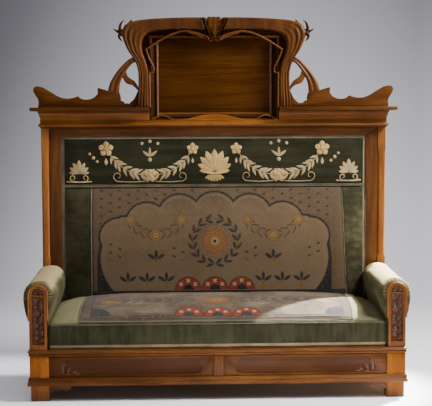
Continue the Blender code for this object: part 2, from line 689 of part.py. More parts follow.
def arm_stumps():
    """Arched boards at the front of the arms with a long sunken field under a half-round one."""
    middle_y = FRONT_Y + ARM_STUMP_SETBACK + ARM_STUMP_THICKNESS / 2
    field = ARM_STUMP_WIDTH - 2 * STUMP_FIELD_MARGIN
    spring = ARM_STUMP_HEIGHT - ARM_STUMP_WIDTH / 2
    reach = STUMP_FIELD_DEPTH + CUT_OVERRUN
    cut_y = FRONT_Y + ARM_STUMP_SETBACK + STUMP_FIELD_DEPTH - reach / 2
    for side, way in SIDES:
        middle_x = way * (HALF_WIDTH - ARM_STUMP_WIDTH / 2)
        outline = arched_outline(ARM_STUMP_WIDTH, ARM_STUMP_HEIGHT, STUMP_ARCH_STEPS)
        origin = (middle_x, middle_y, DECK_Z + CLEAR)
        shape = plate(outline, ARM_STUMP_THICKNESS, (1, 0, 0), (0, 0, 1), origin)
        stump = settle("arm_stump_" + side, shape, polished_walnut)
        low = DECK_Z + STUMP_FIELD_BOTTOM
        high = DECK_Z + spring - STUMP_CROSS_BAR
        front = cut_y - reach / 2
        rear = cut_y + reach / 2
        field_span = (middle_x - field / 2, middle_x + field / 2)
        combine(stump, block(field_span, (front, rear), (low, high)), "DIFFERENCE")
        outline = arched_outline(field, field / 2 + STUMP_CROSS_BAR / 2, STUMP_FIELD_STEPS)
        origin = (middle_x, cut_y, DECK_Z + spring)
        combine(stump, plate(outline, reach, (1, 0, 0), (0, 0, 1), origin), "DIFFERENCE")


ARM_PAD_REST_HEIGHT = 0.171
ARM_PANEL_THICKNESS = 0.017
ARM_PANEL_SETBACK = 0.0015
ARM_PAD_OVER_STUMP = 0.026
ARM_PAD_OUT = 0.0285
ARM_PAD_IN = 0.040
ARM_PAD_FRONT_SETBACK = 0.010
ARM_ROLL_STEPS = 2
ARM_PAD_INNER_SHARES = ((0.00, 0.00), (0.10, 0.18), (0.62, 0.42), (0.96, 0.66))
ARM_PAD_CROWN_SHARES = ((0.86, 0.86), (0.42, 0.99), (-0.10, 1.00), (-0.62, 0.93))
ARM_PAD_OUTER_SHARES = ((1.00, 0.72), (0.90, 0.40), (0.42, 0.00))
ARM_PAD_ROUNDING = 0.014
ARM_PAD_ROUNDING_SHARES = ((0.00, 0.93), (0.30, 0.35), (1.00, 0.00))


def arm_panels():
    """Boards that close the outer sides of the arms under the roll."""
    for side, way in SIDES:
        outer = HALF_WIDTH - ARM_PANEL_SETBACK
        board(
            "arm_panel_" + side, (way * outer, way * (outer - ARM_PANEL_THICKNESS)),
            (STUMP_REAR_Y + CLEAR, BACK_FACE_Y - CLEAR),
            (DECK_Z + CLEAR, DECK_Z + ARM_PAD_REST_HEIGHT), polished_walnut)


def arm_pad_section():
    """The roll in cross-section; inside the arm panel the stuffing goes down to the webbing."""
    rest = DECK_Z + ARM_PAD_REST_HEIGHT + CLEAR
    top = DECK_Z + ARM_STUMP_HEIGHT + ARM_PAD_OVER_STUMP
    middle = HALF_WIDTH - ARM_STUMP_WIDTH / 2
    half = ARM_STUMP_WIDTH / 2
    inner_low = SEAT_HALF + CLEAR
    seat_edge = DECK_Z + SEAT_EDGE_HEIGHT
    rise = top - seat_edge
    swell = ARM_PAD_IN - SEAT_TO_STUMP_GAP
    reach = half + ARM_PAD_IN
    roll = [(inner_low - a * swell, seat_edge + b * rise) for a, b in ARM_PAD_INNER_SHARES]
    roll += [(middle - a * reach, seat_edge + b * rise) for a, b in ARM_PAD_CROWN_SHARES]
    roll += [(HALF_WIDTH + a * ARM_PAD_OUT, rest + b * (top - rest)) for a, b in ARM_PAD_OUTER_SHARES]
    smooth = smooth_rows(roll, ARM_ROLL_STEPS)
    panel_inner = HALF_WIDTH - ARM_PANEL_SETBACK - ARM_PANEL_THICKNESS - CLEAR
    floor = STRAP_TOP_Z + CLEAR
    return smooth + [(panel_inner, rest), (panel_inner, floor), (inner_low, floor)]


def arm_pads():
    """Velvet rolls over the arms, drawn round the stump at the front."""
    section = arm_pad_section()
    core = Vector((HALF_WIDTH - ARM_STUMP_WIDTH / 2, DECK_Z + ARM_STUMP_HEIGHT - ARM_STUMP_WIDTH / 2))
    front = FRONT_Y + ARM_PAD_FRONT_SETBACK
    rear = BACK_FACE_Y - CLEAR
    for side, way in SIDES:
        rings = []
        ends = [(a * ARM_PAD_ROUNDING, b * ARM_PAD_ROUNDING) for a, b in ARM_PAD_ROUNDING_SHARES]
        stations = [(front + inward, drawn_in) for inward, drawn_in in ends]
        stations += [((front + rear) / 2, 0)]
        stations += [(rear - inward, drawn_in) for inward, drawn_in in reversed(ends)]
        for place, drawn_in in stations:
            ring = []
            for right, up in section:
                spoke = Vector((right, up)) - core
                share = 1 - drawn_in / max(spoke.length, drawn_in) if up > core.y - ARM_STUMP_WIDTH else 1
                ring.append((way * (core.x + share * spoke.x), place, core.y + share * spoke.y))
            rings.append(ring)
        pad = settle("arm_pad_" + side, loft(rings), olive_velvet)
        reach = STUMP_REAR_Y + CLEAR - FRONT_Y + CUT_OVERRUN
        grown = arched_outline(ARM_STUMP_WIDTH + 2 * CLEAR, ARM_STUMP_HEIGHT + 2 * CLEAR, STUMP_ARCH_STEPS)
        origin = (way * core.x, STUMP_REAR_Y + CLEAR - reach / 2, DECK_Z)
        combine(pad, plate(grown, reach, (1, 0, 0), (0, 0, 1), origin), "DIFFERENCE")
        shade_round(pad)


POST_CHAMFER = 0.010
POST_CHAMFER_START = 0.705
POST_CHAMFER_END = 1.330


def rear_posts():
    """Full-height rear posts whose front corners carry stopped chamfers above the arms."""
    for side, way in SIDES:
        x_span = (way * HALF_WIDTH, way * (HALF_WIDTH - REAR_POST_WIDTH))
        shape = block(x_span, (BACK_FACE_Y, REAR_Y), (0, REAR_POST_HEIGHT))
        slice_across(shape, 2, (POST_CHAMFER_START, POST_CHAMFER_END))
        picked = []
        for edge in shape.edges:
            middle = (edge.verts[0].co + edge.verts[1].co) / 2
            upright = abs(edge.verts[0].co.z - edge.verts[1].co.z) > REAR_POST_DEPTH
            in_front = middle.y < BACK_FACE_Y + CLEAR
            if upright and in_front and POST_CHAMFER_START < middle.z < POST_CHAMFER_END:
                picked.append(edge)
        bmesh.ops.bevel(shape, geom=picked, offset=POST_CHAMFER, segments=1, affect="EDGES")
        settle("rear_post_" + side, shape, polished_walnut)


BACK_FRAME_SETBACK = 0.004
BACK_FRAME_EDGE = 0.002


def back_frame():
    """Mitred boards round the back pads, planted on the back board inside the posts."""
    front = BACK_FACE_Y + BACK_FRAME_SETBACK
    rear = BACK_BOARD_Y - CLEAR
    thickness = rear - front
    middle = (front + rear) / 2
    top = REAR_POST_HEIGHT
    seam = CLEAR / 2
    outer = BACK_FRAME_OUTER
    inner = BACK_OPENING_HALF
    edge = BACK_OPENING_TOP + seam
    outline = ((-outer + seam, top), (-inner, edge), (inner, edge), (outer - seam, top))
    shape = plate(corners(outline), thickness, (1, 0, 0), (0, 0, 1), (0, middle, 0))
    soften(settle("back_frame_top", shape, polished_walnut), BACK_FRAME_EDGE)
    foot = DECK_Z + CLEAR
    for side, way in SIDES:
        outline = ((inner, foot), (outer, foot), (outer, top - seam), (inner, BACK_OPENING_TOP - seam))
        shape = plate(corners(outline), thickness, (way, 0, 0), (0, 0, 1), (0, middle, 0))
        soften(settle("back_frame_" + side, shape, polished_walnut), BACK_FRAME_EDGE)


PLANK_COUNT = 9
PLANK_GROOVE_WIDTH = 0.003
PLANK_GROOVE_DEPTH = 0.002


def back_board():
    """The boarded back between the posts, with a V groove at each joint of the planks."""
    half = HALF_WIDTH - REAR_POST_WIDTH - CLEAR
    shape = block((-half, half), (BACK_BOARD_Y, REAR_Y), (FOOT_HEIGHT, REAR_POST_HEIGHT))
    joints = [half * (2 * index / PLANK_COUNT - 1) for index in range(1, PLANK_COUNT)]
    for joint in joints:
        slice_across(shape, 0, (joint - PLANK_GROOVE_WIDTH, joint, joint + PLANK_GROOVE_WIDTH))
    for vert in shape.verts:
        at_joint = any(abs(vert.co.x - joint) < CLEAR for joint in joints)
        if at_joint and vert.co.y > REAR_Y - CLEAR:
            vert.co.y -= PLANK_GROOVE_DEPTH
    settle("back_board", shape, shaded_walnut)


ENTABLATURE_BEAD_OUT = 0.012
ENTABLATURE_PROFILE_SHARES = (
    (0.00, -0.15), (0.14, 0.00), (0.22, 0.35), (0.33, 0.85), (0.46, 1.00), (0.58, 0.80),
    (0.68, 0.10), (0.72, 0.00), (1.00, 0.00))
CORNICE_OUT = 0.054
CORNICE_PROFILE_SHARES = (
    (0.00, 0.00), (0.30, 0.00), (0.34, 0.09), (0.50, 0.11), (0.66, 0.24), (0.71, 0.30),
    (0.735, 0.84), (0.76, 1.00), (0.98, 1.00), (1.00, 0.96))


def moulded_beam(name, inner, outer, z_span, profile, out):
    """A beam along X whose front and free ends follow a profile of (height share, out share)."""
    low, high = z_span
    front = BACK_FACE_Y - CORNICE_PROUD
    shape = block((inner, outer), (front, REAR_Y), z_span)
    slice_across(shape, 2, [low + up * (high - low) for up, share in profile[1:-1]])
    levels = [(low + up * (high - low), share * out) for up, share in profile]
    for vert in shape.verts:
        step = min(levels, key=lambda level: abs(level[0] - vert.co.z))[1]
        if abs(vert.co.y - front) < CLEAR:
            vert.co.y -= step
        if abs(abs(vert.co.x) - HALF_WIDTH) < CLEAR:
            vert.co.x += step if vert.co.x > 0 else -step
    settle(name, shape, polished_walnut)


def cornice():
    """The entablature on the posts and the two moulded cornice blocks beside the niche."""
    moulded_beam(
        "entablature", -HALF_WIDTH, HALF_WIDTH, (ENTABLATURE_Z, ENTABLATURE_Z + ENTABLATURE_HEIGHT),
        ENTABLATURE_PROFILE_SHARES, ENTABLATURE_BEAD_OUT)
    for side, way in SIDES:
        moulded_beam(
            "cornice_" + side, way * NICHE_HALF_WIDTH, way * HALF_WIDTH,
            (CORNICE_Z, CORNICE_Z + CORNICE_HEIGHT), CORNICE_PROFILE_SHARES, CORNICE_OUT)


# Each row is outer x, outer height, inner x, inner height and depth of one section of the arch.
# Places across are shares of the niche's half width and heights are shares of the crest's height.
ARCH_SECTION_SHARES = (
    (1.195, 0.000, 1.001, 0.000, 1.00),
    (1.190, 0.094, 1.003, 0.094, 1.00),
    (1.171, 0.206, 1.003, 0.206, 0.94),
    (1.166, 0.385, 1.005, 0.385, 0.90),
    (1.218, 0.517, 1.042, 0.508, 0.92),
    (1.312, 0.617, 1.091, 0.596, 1.00),
    (1.382, 0.728, 1.112, 0.685, 1.10),
    (1.410, 0.819, 1.096, 0.753, 1.16),
    (1.372, 0.908, 1.052, 0.800, 1.10),
    (1.257, 0.953, 0.982, 0.832, 1.00),
    (1.075, 0.977, 0.860, 0.853, 0.92),
    (0.782, 0.992, 0.675, 0.862, 0.88),
    (0.397, 1.000, 0.397, 0.860, 0.88))
ARCH_RIDGE_COUNT = 4
ARCH_RIDGE_HEIGHT = 0.007
ARCH_STEPS = 2
CLASP_HALF_WIDTH = 0.042
# Clasp sections: place across in half widths, top, bottom and depth.
CLASP_SECTION_SHARES = (
    (-1.00, 1.000, 0.857, 0.90), (-0.86, 1.010, 0.840, 1.02), (-0.42, 1.010, 0.815, 1.06),
    (-0.30, 0.996, 0.805, 0.94), (-0.16, 1.012, 0.775, 1.10), (0.00, 1.014, 0.745, 1.12),
    (0.16, 1.012, 0.775, 1.10), (0.30, 0.996, 0.805, 0.94), (0.42, 1.010, 0.815, 1.06),
    (0.86, 1.010, 0.840, 1.02), (1.00, 1.000, 0.857, 0.90))
THORN_RADIUS = 0.0125
THORN_TAPER_SHARES = (1.00, 0.95, 0.62, 0.20)
THORN_SIDES = 6
ROD_STEPS = 3
# Each thorn is its place from front to back and its points from the root to the tip.
THORN_SHARES = (
    (0.06, ((1.360, 0.800), (1.425, 0.822), (1.487, 0.846), (1.548, 0.874))),
    (-0.14, ((1.350, 0.780), (1.438, 0.838), (1.430, 0.925), (1.366, 0.974))),
    (0.19, ((1.245, 0.880), (1.290, 0.925), (1.278, 0.960), (1.244, 0.990))),
    (-0.27, ((1.350, 0.830), (1.440, 0.812), (1.450, 0.770), (1.398, 0.726))))


def crest_point(across, up, way, y):
    return Vector((way * across * NICHE_HALF_WIDTH, y, CREST_Z + up * CREST_HEIGHT))


def arch_rings(way, grow):
    """Rings of the arch: ridged stems in front, flatter behind, and fatter by grow all round."""
    end = CLASP_HALF_WIDTH + CLEAR
    end_share = end / NICHE_HALF_WIDTH
    top_share, bottom_share, deep_share = CLASP_SECTION_SHARES[0][1:]
    last = (end_share, top_share, end_share, bottom_share, deep_share)
    rings = []
    for x_out, z_out, x_in, z_in, deep in smooth_rows(ARCH_SECTION_SHARES + (last,), ARCH_STEPS):
        outer = crest_point(x_out, z_out, way, 0)
        inner = crest_point(x_in, z_in, way, 0)
        step = (outer - inner).normalized() * grow
        outer += step
        inner -= step
        half = CREST_DEPTH * deep / 2 + grow
        ring = []
        beats = 2 * ARCH_RIDGE_COUNT
        for beat in range(beats + 1):
            point = outer.lerp(inner, beat / beats)
            ridge = ARCH_RIDGE_HEIGHT if beat % 2 else 0
            edge = ARCH_RIDGE_HEIGHT if beat in (0, beats) else 0
            point.y = CREST_MIDDLE_Y - half + ARCH_RIDGE_HEIGHT - ridge + edge
            ring.append(point)
        for share in (1, 0.5, 0):
            point = outer.lerp(inner, share)
            point.y = CREST_MIDDLE_Y + half - (0 if share == 0.5 else ARCH_RIDGE_HEIGHT / 2)
            ring.append(point)
        rings.append(ring)
    return rings


def rod(points, radii, sides):
    """A tapering round rod along a smooth path that keeps to one upright plane."""
    path = smooth_rows([(*point, radius) for point, radius in zip(points, radii)], ROD_STEPS)
    places = [Vector(row[:3]) for row in path]
    rings = []
    sideways = Vector((0, 1, 0))
    for index, (place, row) in enumerate(zip(places, path)):
        ahead = places[min(index + 1, len(places) - 1)] - places[max(index - 1, 0)]
        upward = ahead.cross(sideways).normalized()
        angles = [2 * pi * step / sides for step in range(sides)]
        rings.append([place + row[3] * (cos(angle) * sideways + sin(angle) * upward) for angle in angles])
    return loft(rings)


def arches():
    """Bundled stems that rise beside the niche, knot into thorns and run in to the clasp."""
    for side, way in SIDES:
        arch = settle("arch_" + side, loft(arch_rings(way, 0)), polished_walnut)
        for backward, path in THORN_SHARES:
            y = CREST_MIDDLE_Y + backward * CREST_DEPTH
            points = [crest_point(a, b, way, y) for a, b in path]
            radii = [share * THORN_RADIUS for share in THORN_TAPER_SHARES]
            # The exact solver loses the arch at one thorn; both shapes are closed, as this one needs.
            combine(arch, rod(points, radii, THORN_SIDES), "UNION", "MANIFOLD")
        shade_round(arch)


CLASP_RING_STEPS = 10
CLASP_SQUARENESS = 0.55


def crest_clasp():
    """The notched clasp that binds the two stems in the middle and ends in a drop."""
    rings = []
    for across, top, bottom, deep in CLASP_SECTION_SHARES:
        high = CREST_Z + top * CREST_HEIGHT
        low = CREST_Z + bottom * CREST_HEIGHT
        ring = []
        for step in range(CLASP_RING_STEPS):
            angle = 2 * pi * (step + 0.5) / CLASP_RING_STEPS
            wide = abs(cos(angle)) ** CLASP_SQUARENESS * (1 if cos(angle) > 0 else -1)
            tall = abs(sin(angle)) ** CLASP_SQUARENESS * (1 if sin(angle) > 0 else -1)
            ring.append((
                across * CLASP_HALF_WIDTH, CREST_MIDDLE_Y + wide * deep * CREST_DEPTH / 2,
                (high + low) / 2 + tall * (high - low) / 2))
        rings.append(ring)
    clasp = settle("crest_clasp", loft(rings), shaded_walnut)
    rebate_top = CREST_Z + NICHE_TOP_SHARE * CREST_HEIGHT + NICHE_TOP_THICKNESS + CLEAR
    reach = CLASP_HALF_WIDTH + CUT_OVERRUN
    rebate = block((-reach, reach), (NICHE_FRONT_Y - CLEAR, REAR_Y), (CORNICE_Z, rebate_top))
    combine(clasp, rebate, "DIFFERENCE")
    shade_round(clasp)


# Branch sections: outer x, outer height, inner x and inner height, in the arch's shares.
BRANCH_SECTION_SHARES = (
    (1.636, 0.187, 1.460, 0.166), (1.603, 0.272, 1.452, 0.249), (1.548, 0.343, 1.418, 0.323),
    (1.481, 0.411, 1.371, 0.383), (1.395, 0.481, 1.304, 0.451), (1.314, 0.534, 1.249, 0.491),
    (1.215, 0.575, 1.180, 0.505))
BRANCH_DEPTH = 0.022
BRANCH_GROOVE = 0.006
LEAF_SECTION_SHARES = (
    (1.400, 0.440, 1.370, 0.430), (1.392, 0.372, 1.345, 0.385), (1.402, 0.320, 1.322, 0.345),
    (1.350, 0.262, 1.285, 0.322), (1.262, 0.243, 1.222, 0.290), (1.190, 0.196, 1.172, 0.232),
    (1.120, 0.130, 1.110, 0.170))
LEAF_DEPTH = 0.010
STRAND_FRONT_SHARES = ((0, 0.45), (0.25, 1), (0.5, 1), (0.75, 1), (1, 0.45))
STRAND_REAR_SHARES = ((1, 0.45), (0.5, 1), (0, 0.45))


def banded_rings(rows, way, depth, groove):
    """Rings of a flat strand, split in two by a groove down its front where one is asked."""
    rings = []
    for x_out, z_out, x_in, z_in in smooth_rows(rows, 2):
        outer = crest_point(x_out, z_out, way, CREST_MIDDLE_Y)
        inner = crest_point(x_in, z_in, way, CREST_MIDDLE_Y)
        ring = []
        for share, rise in STRAND_FRONT_SHARES:
            point = outer.lerp(inner, share)
            point.y -= rise * depth / 2 - (groove if share == 0.5 else 0)
            ring.append(point)
        for share, rise in STRAND_REAR_SHARES:
            point = outer.lerp(inner, share)
            point.y += rise * depth / 2
            ring.append(point)
        rings.append(ring)
    return rings


def branches():
    """Paired strands that spring from the wings to the arches, with a leaf in the opening."""
    for side, way in SIDES:
        branch = settle(
            "branch_" + side, loft(banded_rings(BRANCH_SECTION_SHARES, way, BRANCH_DEPTH, BRANCH_GROOVE)),
            polished_walnut)
        combine(branch, loft(banded_rings(LEAF_SECTION_SHARES, way, LEAF_DEPTH, 0)), "UNION")
        combine(branch, loft(arch_rings(way, CLEAR)), "DIFFERENCE")
        shade_round(branch)


WING_OUTER_SETBACK = 0.012
WING_LOBE_OUT = 0.052
WING_HEIGHT = 0.125
WING_OUTLINE_SHARES = (
    (0.000, 0.000, "VECTOR"), (0.004, 0.34, "AUTO"), (-0.030, 0.62, "AUTO"), (-0.046, 0.84, "AUTO"),
    (-0.030, 0.97, "AUTO"), (0.006, 1.00, "AUTO"), (0.105, 0.80, "AUTO"), (0.205, 0.52, "AUTO"),
    (0.280, 0.425, "AUTO"), (0.356, 0.455, "AUTO"), (0.404, 0.53, "VECTOR"), (0.434, 0.42, "AUTO"),
    (0.492, 0.37, "AUTO"), (0.552, 0.43, "AUTO"), (0.600, 0.62, "AUTO"))
WING_SPUR_SHARES = (
    (1.790, 0.165, "AUTO"), (1.796, 0.196, "VECTOR"), (1.788, 0.219, "VECTOR"), (1.732, 0.206, "AUTO"))
WING_HOLE_EDGE_SHARES = (
    (1.440, 0.120, "AUTO"), (1.436, 0.072, "VECTOR"), (1.395, 0.062, "AUTO"), (1.372, 0.040, "VECTOR"),
    (1.340, 0.046, "AUTO"), (1.318, 0.036, "VECTOR"), (1.285, 0.058, "AUTO"), (1.235, 0.092, "AUTO"),
    (1.195, 0.150, "AUTO"), (1.140, 0.230, "VECTOR"))


def wings():
    """Fretted boards on the cornice, from the lobed ends to the feet of the arches."""
    outer = HALF_WIDTH + WING_OUTER_SETBACK
    length = outer - ARCH_SECTION_SHARES[0][0] * NICHE_HALF_WIDTH
    hidden_end = WING_HOLE_EDGE_SHARES[-1][0] * NICHE_HALF_WIDTH
    seat = BRANCH_SECTION_SHARES[0]
    for side, way in SIDES:
        outline = [(outer - a * length, b * WING_HEIGHT, handle) for a, b, handle in WING_OUTLINE_SHARES]
        for a, b, handle in WING_SPUR_SHARES:
            outline.append((a * NICHE_HALF_WIDTH, b * CREST_HEIGHT, handle))
        outline.append((seat[0] * NICHE_HALF_WIDTH, seat[1] * CREST_HEIGHT - CLEAR, "VECTOR"))
        outline.append((seat[2] * NICHE_HALF_WIDTH, seat[3] * CREST_HEIGHT - CLEAR, "VECTOR"))
        for a, b, handle in WING_HOLE_EDGE_SHARES:
            outline.append((a * NICHE_HALF_WIDTH + CLEAR, b * CREST_HEIGHT, handle))
        outline.append((hidden_end, 0, "VECTOR"))
        shape = plate(outline, WING_THICKNESS, (way, 0, 0), (0, 0, 1), (0, CREST_MIDDLE_Y, CREST_Z))
        wing = settle("wing_" + side, shape, polished_walnut)
        combine(wing, loft(arch_rings(way, CLEAR)), "DIFFERENCE")


NICHE_SHELF_THICKNESS = 0.014
NICHE_BACK_WIDE_SHARE = 1.125
NICHE_BACK_TOP_SHARE = 0.885
NICHE_SIDE_FRONT_THICKNESS = 0.012
NICHE_SIDE_SPLAY = 0.022


def niche():
    """The niche between the arches: splayed sides, a shelf between them, a top and a back panel."""
    half = NICHE_HALF_WIDTH - CLEAR
    ceiling = CREST_Z + NICHE_TOP_SHARE * CREST_HEIGHT
    rear = NICHE_BACK_Y - CLEAR
    front_edge = half - NICHE_SIDE_FRONT_THICKNESS
    rear_edge = front_edge - NICHE_SIDE_SPLAY
    side_outline = corners((
        (half, NICHE_FRONT_Y), (front_edge, NICHE_FRONT_Y), (rear_edge, rear), (half, rear)))
    side_height = ceiling - CLEAR - CORNICE_Z
    side_origin = (0, 0, CORNICE_Z + side_height / 2)
    for side, way in SIDES:
        shape = plate(side_outline, side_height, (way, 0, 0), (0, 1, 0), side_origin)
        settle("niche_side_" + side, shape, shaded_walnut)
    shelf_outline = corners((
        (front_edge - CLEAR, NICHE_FRONT_Y), (rear_edge - CLEAR, rear),
        (CLEAR - rear_edge, rear), (CLEAR - front_edge, NICHE_FRONT_Y)))
    shelf_origin = (0, 0, CORNICE_Z + NICHE_SHELF_THICKNESS / 2)
    shape = plate(shelf_outline, NICHE_SHELF_THICKNESS, (1, 0, 0), (0, 1, 0), shelf_origin)
    settle("niche_shelf", shape, shaded_walnut)
    board(
        "niche_top", (-half, half), (NICHE_FRONT_Y, rear),
        (ceiling, ceiling + NICHE_TOP_THICKNESS), shaded_walnut)
    wide = NICHE_BACK_WIDE_SHARE * NICHE_HALF_WIDTH
    top = CREST_Z + NICHE_BACK_TOP_SHARE * CREST_HEIGHT
    edge = [(half, CORNICE_Z), (half, CREST_Z), (wide, CREST_Z), (wide, top)]
    back_outline = corners(edge + [(-right, up) for right, up in reversed(edge)])
    middle = (0, NICHE_BACK_Y + NICHE_BACK_THICKNESS / 2, 0)
    shape = plate(back_outline, NICHE_BACK_THICKNESS, (1, 0, 0), (0, 0, 1), middle)
    settle("niche_back", shape, polished_walnut)


GALLERY_HEIGHT = 0.038
GALLERY_STRIP_SHARE = 0.16
GALLERY_STEM_SHARE = 0.13
GALLERY_LOOP_OUTER_SHARE = 0.985
GALLERY_LOOP_INNER_SHARE = 0.62
GALLERY_WAVE_SHARES = ((0.47, 0.26), (0.30, 0.62), (0.15, 0.94))


def gallery_rail():
    """A low wave-shaped rail in front of the shelf with a bent loop at each end."""
    half = NICHE_HALF_WIDTH - CLEAR
    start = GALLERY_LOOP_INNER_SHARE * half
    end = GALLERY_LOOP_OUTER_SHARE * half
    peak = (start + end) / 2
    strip = GALLERY_STRIP_SHARE * GALLERY_HEIGHT
    stem = GALLERY_STEM_SHARE * GALLERY_HEIGHT
    right_side = [(half, 0, "VECTOR"), (end, strip, "VECTOR")]
    right_side += [(peak, GALLERY_HEIGHT, "AUTO"), (start, strip, "VECTOR")]
    right_side += [(a * half, b * GALLERY_HEIGHT, "AUTO") for a, b in GALLERY_WAVE_SHARES]
    left_side = [(-right, up, handle) for right, up, handle in reversed(right_side)]
    outline = right_side + [(0, GALLERY_HEIGHT, "AUTO")] + left_side
    inset = 2 * stem
    hole = [
        (end - inset, strip, "VECTOR"), (peak, GALLERY_HEIGHT - stem, "AUTO"),
        (start + inset, strip, "VECTOR")]
    mirrored = [(-right, up, handle) for right, up, handle in hole]
    front = BACK_FACE_Y - CORNICE_PROUD
    rear = NICHE_FRONT_Y - CLEAR
    middle = (0, (front + rear) / 2, CORNICE_Z)
    shape = plate(outline, rear - front, (1, 0, 0), (0, 0, 1), middle, holes=(hole, mirrored))
    settle("gallery_rail", shape, polished_walnut)


front_legs()
foot_brackets()
base_mouldings()
case_front_and_sides()
drawer_partition()
drawer_runners()
drawers()
seat_rails()
seat_webbing()
seat_pad()
back_pads()
arm_stumps()
arm_panels()
arm_pads()
rear_posts()
back_frame()
back_board()
cornice()
arches()
crest_clasp()
branches()
wings()
niche()
gallery_rail()
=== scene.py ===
import math
from contextlib import contextmanager
from functools import reduce

import bpy
from mathutils import Matrix, Vector, noise
from mathutils.bvhtree import BVHTree


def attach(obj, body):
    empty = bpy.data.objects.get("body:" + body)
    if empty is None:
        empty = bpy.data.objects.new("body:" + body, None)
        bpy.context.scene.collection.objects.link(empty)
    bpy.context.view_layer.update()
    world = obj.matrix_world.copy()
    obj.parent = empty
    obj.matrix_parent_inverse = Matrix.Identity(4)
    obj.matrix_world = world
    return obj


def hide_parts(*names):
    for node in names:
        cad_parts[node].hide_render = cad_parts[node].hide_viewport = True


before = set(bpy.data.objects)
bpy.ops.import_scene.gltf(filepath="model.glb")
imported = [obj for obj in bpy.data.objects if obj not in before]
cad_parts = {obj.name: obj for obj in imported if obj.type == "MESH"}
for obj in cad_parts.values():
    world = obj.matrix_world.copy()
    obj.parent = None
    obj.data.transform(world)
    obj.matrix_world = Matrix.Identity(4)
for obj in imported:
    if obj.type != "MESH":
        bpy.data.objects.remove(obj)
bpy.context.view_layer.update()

# The front legs and rear posts: square and moulded uprights of solid walnut, planed, stained a
# warm brown and waxed, with every arris eased by hand so that it catches a thin line of light.


def sum_step(operation, turned=False):
    """A method that adds one Math node, with its two values as they come or changed round."""
    def add_node(self, other=0.0):
        first, second = (other, self) if turned else (self, other)
        return self.node("Math", {"operation": operation}, {0: first, 1: second})

    return add_node


class Wire:
    """One value in a material's wiring, which adds Math nodes as it is used in sums."""

    __add__, __radd__ = sum_step("ADD"), sum_step("ADD", turned=True)
    __sub__, __rsub__ = sum_step("SUBTRACT"), sum_step("SUBTRACT", turned=True)
    __mul__, __rmul__ = sum_step("MULTIPLY"), sum_step("MULTIPLY", turned=True)
    __truediv__ = sum_step("DIVIDE")
    least, most, modulo = sum_step("MINIMUM"), sum_step("MAXIMUM"), sum_step("MODULO")
    size, sine, power = sum_step("ABSOLUTE"), sum_step("SINE"), sum_step("POWER")
    whole, rest = sum_step("FLOOR"), sum_step("FRACT")
    angle_to = sum_step("ARCTAN2")

    def __init__(self, tree, socket=None):
        self.tree = tree
        self.socket = socket

    def node(self, kind, settings=None, sockets=None, out=0):
        made = self.tree.nodes.new("ShaderNode" + kind)
        for name, value in (settings or {}).items():
            if name == "stops":
                ramp = made.color_ramp
                while len(ramp.elements) < len(value):
                    ramp.elements.new(0.5)
                for element, (place, colour) in zip(ramp.elements, value):
                    element.position = place
                    element.color = (*colour, 1)
            else:
                setattr(made, name, value)
        for name, value in (sockets or {}).items():
            if isinstance(value, Wire):
                self.tree.links.new(value.socket, made.inputs[name])
            else:
                made.inputs[name].default_value = value
        return Wire(self.tree, made.outputs[out])

    def over(self, low, high):
        """0 at low, 1 at high and smooth between them; low may be the higher one."""
        if low > high:
            return 1 - self.over(high, low)
        return self.node(
            "MapRange", {"interpolation_type": "SMOOTHSTEP"},
            {"Value": self, "From Min": low, "From Max": high})

    def between(self, first, second):
        """Mix two colours by this value."""
        first, second = (
            side if isinstance(side, Wire) else (*side, 1) for side in (first, second))
        return self.node("Mix", {"data_type": "RGBA"}, {0: self, 6: first, 7: second}, out=2)

    def parts(self):
        outputs = self.node("SeparateXYZ", None, {0: self}).socket.node.outputs
        return [Wire(self.tree, outputs[axis]) for axis in range(3)]

    def speckle(self, size, detail=3.0, roughness=0.5, distortion=0.0):
        """Noise at this place, about 0.5 in the mean."""
        return self.node("TexNoise", None, {
            "Vector": self, "Scale": size, "Detail": detail,
            "Roughness": roughness, "Distortion": distortion})

    def stretched(self, scale, location=(0, 0, 0)):
        return self.node("Mapping", None, {"Vector": self, "Location": location, "Scale": scale})


def new_material(name, **constants):
    """An empty material: itself, a function that feeds its shader, and a wire of the place."""
    material = bpy.data.materials.new(name)
    material.use_nodes = True
    tree = material.node_tree
    shader = tree.nodes["Principled BSDF"]
    for socket, value in constants.items():
        shader.inputs[socket.replace("_", " ")].default_value = value

    def feed(socket, wire):
        if socket == "Height":
            strength, distance, height = wire
            wire = height.node(
                "Bump", None, {"Strength": strength, "Distance": distance, "Height": height})
            socket = "Normal"
        tree.links.new(wire.socket, shader.inputs[socket])

    return material, feed, Wire(tree).node("TexCoord", out=3)


WALNUT_DARK = (0.150, 0.0420, 0.0050)
WALNUT_MID = (0.250, 0.0780, 0.0090)
WALNUT_LIGHT = (0.370, 0.1300, 0.0190)
LOW_FOOT_TONE = (0.062, 0.030, 0.015)
GRAIN_STRETCH = 0.07
EDGE_OF_BAND = 0.003
walnut_made = {}


